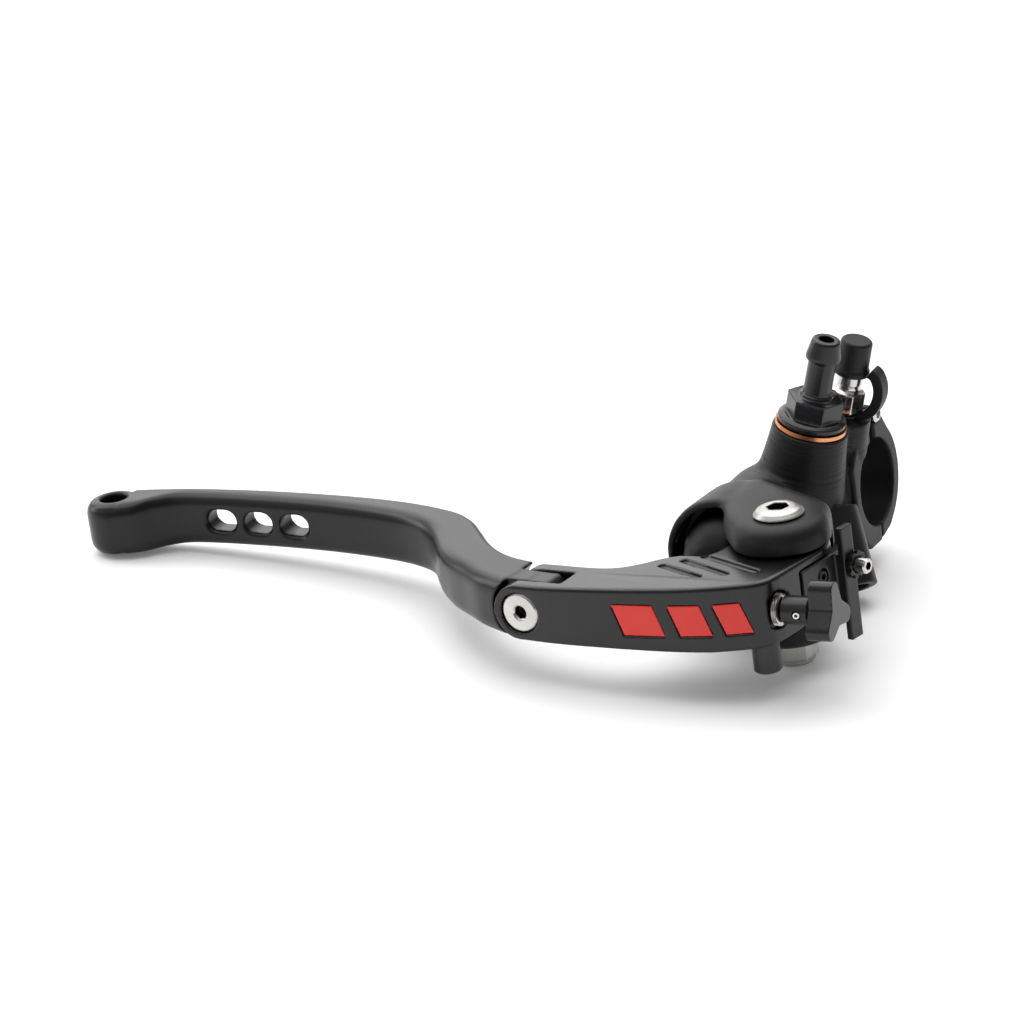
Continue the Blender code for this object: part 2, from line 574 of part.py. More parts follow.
def inlay_bm(centre, width, depth, margin):
    """Slanted bar set into the knuckle's curved front face."""
    cx, cy = PIVOT[0] + centre[0], PIVOT[1] + centre[1]
    half_w, half_h, lean = width / 2 + margin, 3.9 + margin, 1.3
    bend = 0.05 if centre[0] < -20 else 0.165 if centre[0] < -8 else 0.355
    corners = ((-half_w - lean, half_h), (half_w - lean, half_h),
               (half_w + lean, -half_h), (-half_w + lean, -half_h))
    front = 3.0 if margin else -0.1
    rings = [[(cx + x, cy + bend * x + dy, z) for x, z in corners] for dy in (-front, depth)]
    return loft_bm(rings)


def inlays(lever_axis):
    for name, centre, width in INLAYS:
        new_object(name, inlay_bm(centre, width, 0.45, 0), None, "red", lever_axis)


def switch_plate(lever_axis):
    """Plate let into the knuckle's end, with a tall bar that works the brake light switch."""
    corners = [end_point(s, n)[:2] for s, n in ((-8.7, 8.7), (9.6, 8.7), (9.6, 11.9), (-8.7, 11.9))]
    plate = new_object("switch_plate", extruded_bm(corners, -7.6, 5.7), None, "black", lever_axis)
    tee = [(11.2, -7.2), (12.9, -7.0), (12.9, -16.3), (14.6, -16.3), (14.6, 12.2), (12.9, 12.2), (12.9, 5.2),
           (11.2, 5.4)]
    across_end = Matrix(((END_N[0], 0, -END_D[0], PIVOT[0]), (END_N[1], 0, -END_D[1], PIVOT[1]),
                         (0, 1, 0, 0), (0, 0, 0, 1)))
    outward = (*END_N, 0)
    stop = frame_at(end_point(7.8, 0, 2.1), outward)
    boolean(plate, new_object("plate_bar", extruded_bm(tee, -8.6, -4.3), across_end), "UNION")
    boolean(plate, new_object("stop_boss", turned_bm([(3.4, 10.6), (3.3, 14.1)], 20), stop), "UNION")
    boolean(plate, bench("stop_hole", 1.9 + GAP, 40, stop, 16))
    screw = frame_at(end_point(-0.7, 10.2, 1.5), outward)
    boolean(plate, new_object("screw_head_hole", turned_bm([(2.1, -0.3), (2.1, 9.0)], 16), screw))
    boolean(plate, bench("screw_hole", 1.2, 9.0, screw, 12))
    cap_screw("plate_screw", screw, 0.9, 3.6, 1.8, 1.7, lever_axis, key=1.6)
    rim = [(r * math.cos(math.radians(t)), r * math.sin(math.radians(t)))
           for i in range(8) for t, r in ((45 * i + 3, 3.4), (45 * i + 24, 3.4),
                             (45 * i + 29, 2.8), (45 * i + 43, 2.8))]
    nut = new_object("stop_nut", extruded_bm(rim, 14.6 + GAP, 15.9), stop, "black", lever_axis)
    boolean(nut, bench("nut_bore", 1.9 + GAP, 40, stop, 16))
    grub = new_object("stop_screw", turned_bm([(1.6, 12.0), (1.9, 12.4), (1.9, 18.5), (1.6, 18.9)], 18),
                      stop, "steel", lever_axis)
    socket(grub, 1.9, 1.8, 18.9, stop)


def pivot_bush(lever_axis):
    h = EAR_UNDER - GAP
    new_object("pivot_bush", ring_bm([(3.35, -h), (4.65, -h), (4.65, h), (3.35, h)], 24),
               frame_at((*PIVOT, 0)), "steel", lever_axis)


def hinge_screws(lever_axis):
    hinge = frame_at((*HINGE, 0), (-hinge_axis()[0], -hinge_axis()[1], 0))
    face = CHEEK_HALF_T - 0.4
    screw = new_object("hinge_screw", turned_bm(
        [(2.4, -7.2), (2.4, face - 0.9), (5.1, face - 0.9),
         (5.1, face - 0.4), (4.7, face), (4.0, face + 0.1)], 28),
        hinge, "steel", lever_axis)
    socket(screw, 3.0, 1.8, face, hinge)
    new_object("hinge_nut", ring_bm([(2.4 + GAP, -7.2),
        (2.4 + GAP, -CHEEK_HALF_T + 1.5), (4.6, -CHEEK_HALF_T + 1.5),
                                     (4.6, -7.2)], 24), hinge, "steel", lever_axis)


# front edge and rear edge of the blade in plan, relative to the pivot, from the tip inwards
BLADE_STATIONS = (
    ((-190.0, 7.9), (-190.5, 21.4)), ((-185.8, 10.0), (-185.0, 22.4)), ((-181.6, 14.4), (-180.2, 23.1)),
    ((-176.5, 17.3), (-175.5, 23.7)), ((-167.0, 17.9), (-166.5, 24.2)), ((-155.0, 17.5), (-154.5, 24.3)),
    ((-143.5, 16.7), (-142.5, 23.9)), ((-132.0, 15.4), (-130.5, 23.1)), ((-120.0, 13.3), (-117.5, 21.6)),
    ((-110.5, 10.9), (-107.5, 19.6)), ((-104.0, 8.3), (-99.6, 17.2)), ((-99.2, 5.4), (-92.6, 14.2)),
    ((-95.2, 1.4), (-86.6, 9.4)), ((-91.6, -4.0), (-81.6, 3.4)), ((-87.4, -10.0), (-77.0, -2.4)),
    ((-82.0, -15.8), (-72.8, -6.8)), ((-75.6, -20.9), (-68.4, -10.2)), ((-69.6, -25.6), (-63.8, -12.6)),
    ((-62.0, -29.8), (-57.6, -14.6)))
TIP = (-193.8, 14.6)
TIP_R = 7.5


def rounded_section(front, rear, half_h, front_r, rear_r):
    """Rounded rectangle standing on the plan line from front to rear."""
    front, rear = np.array(front), np.array(rear)
    width = np.linalg.norm(rear - front)
    along = (rear - front) / width
    front_r = min(front_r, width * 0.62)
    rear_r = min(rear_r, width * 0.34)
    corners = ((front_r, half_h - front_r, front_r, 180, 90),
               (width - rear_r, half_h - rear_r, rear_r, 90, 0),
               (width - rear_r, -half_h + rear_r, rear_r, 0, -90),
               (front_r, -half_h + front_r, front_r, -90, -180))
    points = []
    for t, z, radius, start, end in corners:
        points += [(*(front + along * x), y) for x, y in arc(t, z, radius, start, end, 2)]
    return points


def lever_blade(blade_axis):
    fronts = spline(near_pivot([f for f, r in BLADE_STATIONS]), 2)
    rears = spline(near_pivot([r for f, r in BLADE_STATIONS]), 2)
    rings = [rounded_section(f, r, BLADE_HALF_H, 3.4, 1.7) for f, r in zip(fronts, rears)]
    blade = new_object("lever_blade", loft_bm(rings), None, "black", blade_axis)
    h, r = BLADE_HALF_H, TIP_R
    bulb = [(r - 3.2, -h), (r - 1.4, -h + 0.6), (r - 0.3, -h + 2.0), (r, -h + 3.4), (r, h - 3.4),
            (r - 0.3, h - 2.0), (r - 1.4, h - 0.6), (r - 3.2, h)]
    tip = frame_at((*near_pivot([TIP])[0], 0))
    boolean(blade, new_object("tip_bulb", turned_bm(bulb, 36), tip), "UNION")
    boolean(blade, new_object("tip_hole", turned_bm([(3.4, -4.0), (3.4, 6.4), (4.4, 7.6)], 24), tip))
    hinge = frame_at((*HINGE, 0), hinge_axis())
    boolean(blade, new_object("cheek_clearance", turned_bm([(8.0, -14), (8.0, 16)], 36), hinge))
    trim = [hinge_point(v, u) for v, u in ((-4.6, -16), (20, -16), (20, 18), (-4.6, 18))]
    boolean(blade, new_object("shoulder_trim", extruded_bm(trim, -30, 30)))
    tongue = new_object("tongue", turned_bm([(7.0, -TONGUE_HALF_T), (7.0, TONGUE_HALF_T)], 36), hinge)
    bar = [hinge_point(v, u) for v, u in ((-12.5, -TONGUE_HALF_T), (0, -TONGUE_HALF_T), (0, TONGUE_HALF_T),
                                          (-12.5, TONGUE_HALF_T))]
    boolean(tongue, new_object("tongue_bar", extruded_bm(bar, -6.95, 6.95)), "UNION")
    boolean(blade, tongue, "UNION")
    heel = [hinge_point(v, u) for v, u in ((0, -TONGUE_HALF_T), (9.2, -TONGUE_HALF_T), (9.2, TONGUE_HALF_T),
                                           (0, TONGUE_HALF_T))]
    heel_block = new_object("tongue_heel", extruded_bm(heel, 0.6, 6.9))
    boolean(heel_block, new_object("heel_limit",
            ring_bm([(9.3, -5), (16, -5), (16, 5), (9.3, 5)], 36), hinge))
    boolean(blade, heel_block, "UNION")
    boolean(blade, bench("hinge_bush_hole", 4.0, 12, hinge, 24))
    for i in range(3):
        x, y = near_pivot([(-164.9 + 10.95 * i, 21.0 - 0.4 * i)])[0]
        for tool in (obround("slot_hole", 4.2, 2.85, 8.0, (x, y)),
                     obround("slot_rim", 4.9, 3.55, 0.9, (x, y - 3.4 - 0.25 * i))):
            boolean(blade, tool)
    new_object("hinge_bush", ring_bm([(2.75, -3.0), (3.65, -3.0), (3.65, 3.0), (2.75, 3.0)], 24), hinge,
               "steel", blade_axis)
    return blade


def obround(name, half_w, half_h, half_depth, at):
    outline = arc(half_w - half_h, 0, half_h, -90, 90, 6) + arc(half_h - half_w, 0, half_h, 90, 270, 6)
    turn = Matrix.Rotation(math.radians(90), 4, "X")
    return new_object(name, extruded_bm(outline, -half_depth, half_depth),
                      Matrix.Translation((*at, 0)) @ turn)


# ---------------------------------------------------------------- reach adjuster
def knob_outline():
    """Three-lobed wing, hollow between the lobes."""
    outline = []
    for a in (185, 305, 425):
        cx, cy = 5.6 * math.cos(math.radians(a)), 5.6 * math.sin(math.radians(a))
        outline += arc(cx, cy, 2.2, a - 80, a + 80, 5)
        outline.append((3.5 * math.cos(math.radians(a + 60)), 3.5 * math.sin(math.radians(a + 60))))
    return outline


def adjuster(adjuster_axis, barrel_axis):
    start = BARREL[0] + BARREL_PIN_R + GAP
    axis = frame_at((0, ADJUSTER_Y, 0), (1, 0, 0))
    knob_x = PIVOT[0] + 15.4
    knob = new_object("adjuster_knob", extruded_bm(knob_outline(), knob_x, knob_x + 6.0), axis, "black",
                      adjuster_axis)
    boolean(knob, new_object("knob_hole", turned_bm([(2.1, knob_x - 3), (2.1, knob_x + 4.0)], 16), axis))
    sleeve = new_object("adjuster_sleeve", turned_bm(
        [(3.1, start + 2.3), (3.45, start + 2.7),
         (3.45, knob_x - 0.8), (3.1, knob_x - 0.4)], 24), axis, "black",
        adjuster_axis)
    boolean(sleeve, bench("sleeve_bore", 2.1, 100, axis, 16))
    pin_x = PIVOT[0] + 11.3
    pin_at = frame_at((pin_x, ADJUSTER_Y, 0), (0.25, -0.97, 0))
    boolean(sleeve, new_object("pin_hole", turned_bm([(1.1, 1.0), (1.1, 8.0)], 12), pin_at))
    new_object("adjuster_pin", ring_bm([(0.4, 2.4), (0.8, 2.4), (0.8, 3.6), (0.4, 3.6)], 12), pin_at, "steel",
               adjuster_axis)
    new_object("adjuster_shaft", turned_bm([(1.8, start), (1.8, knob_x + 3.6)], 16), axis, "steel",
               adjuster_axis)
    new_object("adjuster_ring", ring_bm([(2.1, start + 0.2), (3.4, start + 0.2), (4.0, start + 0.7),
                                         (4.0, start + 1.3), (3.4, start + 2.0), (2.1, start + 2.0)], 20),
               axis, "steel", adjuster_axis)
    new_object("reach_barrel", turned_bm([(3.0, -15.6), (3.4, -15.2), (3.4, 3.6), (3.0, 4.0)], 24),
               frame_at((*BARREL, 0)), "black", barrel_axis)


def build():
    clear_scene()
    root = joint_empty("bar_clamp_frame", (0, 0, 0))
    lever_axis = joint_empty("lever_axis", (*PIVOT, 0), (0, 0, 1), root)
    blade_axis = joint_empty("blade_axis", (*HINGE, 0), hinge_axis(), lever_axis)
    piston_axis = joint_empty("piston_axis", (CYL_X, HOOD_FLOOR, 0), (0, 1, 0), root)
    screw_axis = joint_empty("bleed_screw_axis", (*BLEED_FOOT, 0), leaning_axis(), root)
    cap_axis = joint_empty("bleed_cap_axis", (*BLEED_FOOT, 0), leaning_axis(), root)
    adjuster_axis = joint_empty("adjuster_axis", (PIVOT[0], ADJUSTER_Y, 0), (1, 0, 0), lever_axis)
    barrel_axis = joint_empty("barrel_axis", (*BARREL, 0), (0, 0, 1), lever_axis)
    cylinder_body(root)
    clamp_cap(root)
    clamp_bolts(root)
    inlet(root)
    bleeder(root, screw_axis, cap_axis)
    pivot(root)
    piston_group(root, piston_axis)
    lever_knuckle(lever_axis)
    inlays(lever_axis)
    switch_plate(lever_axis)
    pivot_bush(lever_axis)
    hinge_screws(lever_axis)
    lever_blade(blade_axis)
    adjuster(adjuster_axis, barrel_axis)


build()
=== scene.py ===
"""Finished look of the radial brake master cylinder and its folding lever.

Fine versions of the outer pieces, materials, floor, light and camera, built round the CAD frame.
Shapes are written in millimetres in the CAD frame; new_object() makes metres.
"""
import json
import math

import bmesh
import bpy
import numpy as np
from mathutils import Matrix, Vector

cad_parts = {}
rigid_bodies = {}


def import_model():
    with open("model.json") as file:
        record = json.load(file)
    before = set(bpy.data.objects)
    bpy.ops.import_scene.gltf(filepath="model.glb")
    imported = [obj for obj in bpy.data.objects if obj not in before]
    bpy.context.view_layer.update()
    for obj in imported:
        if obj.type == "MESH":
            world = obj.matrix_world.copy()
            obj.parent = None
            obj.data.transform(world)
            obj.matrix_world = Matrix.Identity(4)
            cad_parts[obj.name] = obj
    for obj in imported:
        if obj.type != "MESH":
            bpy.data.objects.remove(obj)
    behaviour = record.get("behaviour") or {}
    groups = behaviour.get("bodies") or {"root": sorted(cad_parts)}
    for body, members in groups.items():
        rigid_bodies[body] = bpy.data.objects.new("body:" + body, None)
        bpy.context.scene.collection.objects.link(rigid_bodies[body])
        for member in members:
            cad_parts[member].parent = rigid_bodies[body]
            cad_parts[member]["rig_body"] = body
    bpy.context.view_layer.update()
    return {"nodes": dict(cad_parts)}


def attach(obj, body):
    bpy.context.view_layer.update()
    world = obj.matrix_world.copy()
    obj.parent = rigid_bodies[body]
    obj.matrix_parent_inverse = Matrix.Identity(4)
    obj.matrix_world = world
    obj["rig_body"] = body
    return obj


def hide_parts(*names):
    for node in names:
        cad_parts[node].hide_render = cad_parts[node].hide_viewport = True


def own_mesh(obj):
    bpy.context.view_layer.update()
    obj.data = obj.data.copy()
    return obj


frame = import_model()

MM = 0.001
GAP = 0.3
SIDES = 192               # round a turned piece
RING_SIDES = 96           # round a ring
HOLE_SIDES = 48           # round a small turned piece or a cutter
FINE = 3                  # arc steps for each step in the CAD outline

BAR_R = 11.1              # bore for a 22.2 mm bar
CLAMP_R = 15.2
CLAMP_HALF_W = 9.7
CLAMP_BOLT = (-4.2, 15.7)  # X and +-Z of the clamp bolts
PIVOT = (10.0, -62.0)     # lever pivot, in plan
LEVER_RATIO_ARM = 19.0    # pivot to cylinder axis
CYL_X = PIVOT[0] - LEVER_RATIO_ARM
HOOD_R = 15.5
HOOD_BORE_R = 13.6
BARREL_R = 13.0
BORE_R = 9.5
HOOD_FRONT, HOOD_FLOOR, HOOD_REAR, BORE_END = -55.0, -45.0, -38.0, -17.0
SPRING_ENDS = (HOOD_FLOOR + 15.6, BORE_END - 1.2)
SPRING_WIRE_R = 0.7
EAR_TOP, EAR_UNDER, EAR_R = 15.5, 8.9, 12.0
LEVER_HALF_H = 8.3        # knuckle half height at the pivot
BLADE_HALF_H = 7.1
HINGE = (PIVOT[0] - 55.4, PIVOT[1] - 23.5)
HINGE_TILT = math.radians(8)
CHEEK_HALF_T = 7.4
TONGUE_HALF_T = 3.2
ADJUSTER_Y = PIVOT[1] - 20.6
BARREL = (PIVOT[0] + 2.0, ADJUSTER_Y)
BARREL_PIN_R = 3.4
PORT_LEAN = math.radians(16.9)       # inlet and bleed screw lean inboard
INLET_FOOT = (PIVOT[0] - 14.5, PIVOT[1] + 42.1)
BLEED_FOOT = (PIVOT[0] - 10.7, PIVOT[1] + 55.2)
INLET_SEAT = 22.8         # along the lean, from the cylinder axis to the washer's seat
BLEED_SEAT = 21.3
SPLIT_TOP, SPLIT_FOOT = 1.3, 0.15          # half gaps between the clamp halves
EAR_Z = 19.3
LOWER_EAR = (-CLAMP_HALF_W + 0.3, 3.4)     # the lower clamp ears are narrower, from X to X
BOLT_SEAT = 4.0
OUTLET_FACE = (PIVOT[0] + 1.4, PIVOT[1] + 34.9, -18.0)
OUTLET_AXIS = (0.35, -0.4, -0.85)
ACROSS = Matrix(((0, 0, 1, 0), (1, 0, 0, 0), (0, 1, 0, 0), (0, 0, 0, 1)))
END_TURN = math.radians(-14.8)
END_N = (math.cos(END_TURN), math.sin(END_TURN))         # normal of the knuckle's end
END_D = (-END_N[1], END_N[0])                            # along the end, rearwards
END_OUT = 11.35                                          # pivot to the end's plane
# name, centre from the pivot, width, and slope of the knuckle's front there
INLAYS = (("red_inlay_1", (-25.0, -31.55), 10.4, 0.05), ("red_inlay_2", (-12.2, -30.35), 7.8, 0.165),
          ("red_inlay_3", (-2.3, -27.8), 6.2, 0.355))
STOP_S, STOP_Z = 7.8, 2.1            # stop screw: along the knuckle's end, and height
PLATE_SCREW_S, PLATE_SCREW_Z = -0.7, 1.5
EAR_SCREW_Y, EAR_SCREW_Z = 3.6, 16.9
KNOB_X = PIVOT[0] + 15.4
# front and rear of the blade's section, from the pivot, from the tip to the hinge
BLADE_STATIONS = (
    ((-190.0, 7.9), (-190.5, 21.4)), ((-185.8, 10.0), (-185.0, 22.4)), ((-181.6, 14.4), (-180.2, 23.1)),
    ((-176.5, 17.3), (-175.5, 23.7)), ((-167.0, 17.9), (-166.5, 24.2)), ((-155.0, 17.5), (-154.5, 24.3)),
    ((-143.5, 16.7), (-142.5, 23.9)), ((-132.0, 15.4), (-130.5, 23.1)), ((-120.0, 13.3), (-117.5, 21.6)),
    ((-110.5, 10.9), (-107.5, 19.6)), ((-104.0, 8.3), (-99.6, 17.2)), ((-99.2, 5.4), (-92.6, 14.2)),
    ((-95.2, 1.4), (-86.6, 9.4)), ((-91.6, -4.0), (-81.6, 3.4)), ((-87.4, -10.0), (-77.0, -2.4)),
    ((-82.0, -15.8), (-72.8, -6.8)), ((-75.6, -20.9), (-68.4, -10.2)), ((-69.6, -25.6), (-63.8, -12.6)),
    ((-62.0, -29.8), (-57.6, -14.6)))
TIP = (-193.8, 14.6)
TIP_R = 7.5

MADE = {}                 # piece name -> raw object, before it is settled
FINISHES = {}             # material name -> material


def frame_at(origin, axis=(0, 0, 1), turn=0.0):
    """A placing whose local +Z runs along axis through origin."""
    rotation = Vector((0, 0, 1)).rotation_difference(Vector(axis).normalized()).to_matrix().to_4x4()
    return Matrix.Translation(Vector(origin)) @ rotation @ Matrix.Rotation(turn, 4, "Z")


def new_object(name, bm, placing=None):
    """Turn a bmesh in millimetres into an object in metres."""
    bm.transform(placing or Matrix.Identity(4))
    bmesh.ops.recalc_face_normals(bm, faces=bm.faces)
    if bm.calc_volume(signed=True) < 0:
        bmesh.ops.reverse_faces(bm, faces=bm.faces)
    bmesh.ops.scale(bm, vec=(MM, MM, MM), verts=bm.verts)
    mesh = bpy.data.meshes.new(name)
    bm.to_mesh(mesh)
    bm.free()
    obj = bpy.data.objects.new("raw_" + name, mesh)
    bpy.context.scene.collection.objects.link(obj)
    obj["raw"] = True
    return obj


def new_piece(name, bm, placing=None):
    """An object that stays in the scene; the others are cutters or are joined to one."""
    MADE[name] = new_object(name, bm, placing)
    return MADE[name]


def boolean(target, tool, operation="DIFFERENCE", solver="EXACT"):
    modifier = target.modifiers.new(operation.title(), "BOOLEAN")
    modifier.operation = operation
    modifier.solver = solver
    modifier.object = tool
    return target


def applied(obj):
    """Swap the object's mesh for what its modifiers make of it."""
    mesh = bpy.data.meshes.new_from_object(obj.evaluated_get(bpy.context.evaluated_depsgraph_get()))
    obj.modifiers.clear()
    obj.data = mesh
    return obj


def soften(obj, voxel, passes):
    """One skin with rounded edges: rebuild the surface at voxel millimetres, then relax it."""
    applied(obj)
    skin = obj.modifiers.new("skin", "REMESH")
    skin.mode = "VOXEL"
    skin.voxel_size = voxel * MM
    relax = obj.modifiers.new("relax", "SMOOTH")
    relax.factor = 0.5
    relax.iterations = passes
    applied(obj)
    obj.data.shade_smooth()
    return obj


def crisp(obj, angle=32):
    """Machined piece: smooth faces, sharp where two faces meet at more than the angle."""
    applied(obj)
    obj.data.shade_smooth()
    obj.data.set_sharp_from_angle(angle=math.radians(angle))
    return obj


def turned_bm(profile, sides=SIDES):
    """Solid of revolution about +Z; profile is (radius, z) from one end to the other.

    A small turn keeps its edges off the edges of the shapes that it is joined to.
    """
    turn = 0.0137
    bm = bmesh.new()
    rings = []
    for radius, z in profile:
        if radius == 0:
            rings.append([bm.verts.new((0, 0, z))])
        else:
            angles = [2 * math.pi * i / sides + turn for i in range(sides)]
            rings.append([bm.verts.new((radius * math.cos(a), radius * math.sin(a), z)) for a in angles])
    for low, high in zip(rings, rings[1:]):
        for i in range(sides):
            j = (i + 1) % sides
            if len(low) == 1:
                bm.faces.new((low[0], high[i], high[j]))
            elif len(high) == 1:
                bm.faces.new((low[i], low[j], high[0]))
            else:
                bm.faces.new((low[i], low[j], high[j], high[i]))
    for ring in (rings[0], rings[-1]):
        if len(ring) > 1:
            bm.faces.new(ring)
    return bm


def bevel_rims(bm, radius, segments, pick=None):
    """Round the rim edges of a prism's two flat ends."""
    flat = [f for f in bm.faces if len(f.verts) > 4]
    edges = {e for f in flat for e in f.edges if pick is None or pick(e)}
    bmesh.ops.bevel(bm, geom=list(edges), offset=radius, segments=segments, profile=0.5,
                    affect="EDGES", clamp_overlap=True)
    return bm


def ring_bm(profile, sides=RING_SIDES):
    """Closed ring about +Z; profile is a closed loop of (radius, z)."""
    bm = bmesh.new()
    rings = []
    for i in range(sides):
        a = 2 * math.pi * i / sides
        rings.append([bm.verts.new((r * math.cos(a), r * math.sin(a), z)) for r, z in profile])
    for i in range(sides):
        here, after = rings[i], rings[(i + 1) % sides]
        for k in range(len(profile)):
            m = (k + 1) % len(profile)
            bm.faces.new((here[k], here[m], after[m], after[k]))
    return bm


def extruded_bm(outline, low, high):
    """Prism: a closed outline of (x, y) points from z = low to z = high."""
    bm = bmesh.new()
    bottom = bm.faces.new([bm.verts.new((x, y, low)) for x, y in outline])
    made = bmesh.ops.extrude_face_region(bm, geom=[bottom])
    top = [g for g in made["geom"] if isinstance(g, bmesh.types.BMVert)]
    bmesh.ops.translate(bm, verts=top, vec=(0, 0, high - low))
    return bm


def loft_bm(rings):
    """Solid through rings of equal point count."""
    bm = bmesh.new()
    made = [[bm.verts.new(p) for p in ring] for ring in rings]
    count = len(rings[0])
    for low, high in zip(made, made[1:]):
        for i in range(count):
            j = (i + 1) % count
            bm.faces.new((low[i], low[j], high[j], high[i]))
    bm.faces.new(made[0])
    bm.faces.new(made[-1])
    return bm


def arc(cx, cy, radius, start, end, steps):
    """Points on an arc, from start to end in degrees."""
    angles = np.radians(np.linspace(start, end, steps * FINE + 1))
    return [(cx + radius * math.cos(a), cy + radius * math.sin(a)) for a in angles]


def spline(points, steps):
    """Catmull-Rom curve through points, with steps spans between neighbours."""
    p = [np.array(q, float) for q in points]
    p = [2 * p[0] - p[1]] + p + [2 * p[-1] - p[-2]]
    steps *= FINE
    out = []
    for a, b, c, d in zip(p, p[1:], p[2:], p[3:]):
        for k in range(steps):
            t = k / steps
            out.append(0.5 * (2 * b + (c - a) * t + (2 * a - 5 * b + 4 * c - d) * t ** 2
                              + (3 * b - a - 3 * c + d) * t ** 3))
    return out + [p[-2]]


def hexagon_bm(across_flats, low, high):
    """Hexagonal prism; its turn keeps its corners off the edges of round pieces."""
    turn = 8
    corners = [math.radians(60 * i + turn) for i in range(6)]
    reach = across_flats / math.sqrt(3)
    return extruded_bm([(reach * math.cos(a), reach * math.sin(a)) for a in corners], low, high)


def near_pivot(points):
    """Plan points given from the lever's pivot."""
    return [(PIVOT[0] + x, PIVOT[1] + y) for x, y in points]


def turned(name, profile, placing, sides=HOLE_SIDES):
    return new_object(name, turned_bm(profile, sides), placing)


def round_bar(name, radius, half_length, placing, sides=HOLE_SIDES):
    return turned(name, [(radius, -half_length), (radius, half_length)], placing, sides)


def drill(piece, name, radius, half_length, placing, sides=HOLE_SIDES):
    boolean(piece, round_bar(name, radius, half_length, placing, sides))


def cylinder_axis():
    return frame_at((CYL_X, 0, 0), (0, 1, 0))


def ear_plate(name, low, high):
    """One of the two ears that hold the lever's pivot, rounded on its outer face."""
    nose = arc(0, 0, EAR_R, -150, 30, 14)
    back = [(8.2, 12.6), (-4.0, 20.0), (-13.0, 25.3), (-18.7, 25.3), (-18.3, 6.3), (-14.5, -0.5)]
    bm = extruded_bm(near_pivot(nose + back), low, high)
    outer = max(low, high, key=abs)
    bevel_rims(bm, 3.6, 6, lambda e: all(abs(v.co.z - outer) < 1e-4 for v in e.verts))
    return new_object(name, bm)


def leaning_axis():
    return (math.sin(PORT_LEAN), 0, math.cos(PORT_LEAN))


def clamp_width_bm(outline):
    """Prism over the clamp's width from a closed outline of (y, z), with eased rims."""
    return bevel_rims(extruded_bm(outline, -CLAMP_HALF_W, CLAMP_HALF_W), 0.8, 2)


def clamp_half():
    """Half ring with an ear above and below; the lower joint closes, the upper one stays open."""
    top = [(-SPLIT_TOP, EAR_Z), (-6.8, EAR_Z), (-8.6, EAR_Z - 1.9), (-10.8, 13.2), (-14.3, 8.5)]
    foot = [(-14.3, -8.5), (-11.6, -12.0), (-7.5, -15.4),
            (-SPLIT_FOOT, -15.6), (-SPLIT_FOOT, 0), (-SPLIT_TOP, 0)]
    half = new_object("clamp_half", clamp_width_bm(top + foot), ACROSS)
    ear = [(-10.5, -11.5), (-SPLIT_FOOT, -11.5), (-SPLIT_FOOT, -EAR_Z), (-6.6, -EAR_Z),
           (-8.6, -EAR_Z + 2.0)]
    return boolean(half, new_object("lower_ear", extruded_bm(ear, *LOWER_EAR), ACROSS), "UNION")


def bridge():
    """Barrel end flowing into the clamp half, from round to nearly square."""
    rings = []
    count = 20
    for y, cx, half_w, half_h, square in (
            (-27, CYL_X, 12.4, 12.4, 0.0), (-21, CYL_X + 2, 12.4, 12.4, 0.15),
            (-16, CYL_X + 6, 11.0, 12.0, 0.5), (-11, -0.4, 8.9, 10.6, 0.9)):
        ring = []
        for i in range(count):
            a = 2 * math.pi * (i + 0.5) / count
            c, s = math.cos(a), math.sin(a)
            grow = (1 - square) + square * min(1 / max(abs(c), abs(s)), 1.25)
            ring.append((cx + half_w * c * grow, y, half_h * s * grow))
        rings.append(ring)
    bm = loft_bm(rings)
    bmesh.ops.triangulate(bm, faces=bm.faces)
    return new_object("bridge", bm)


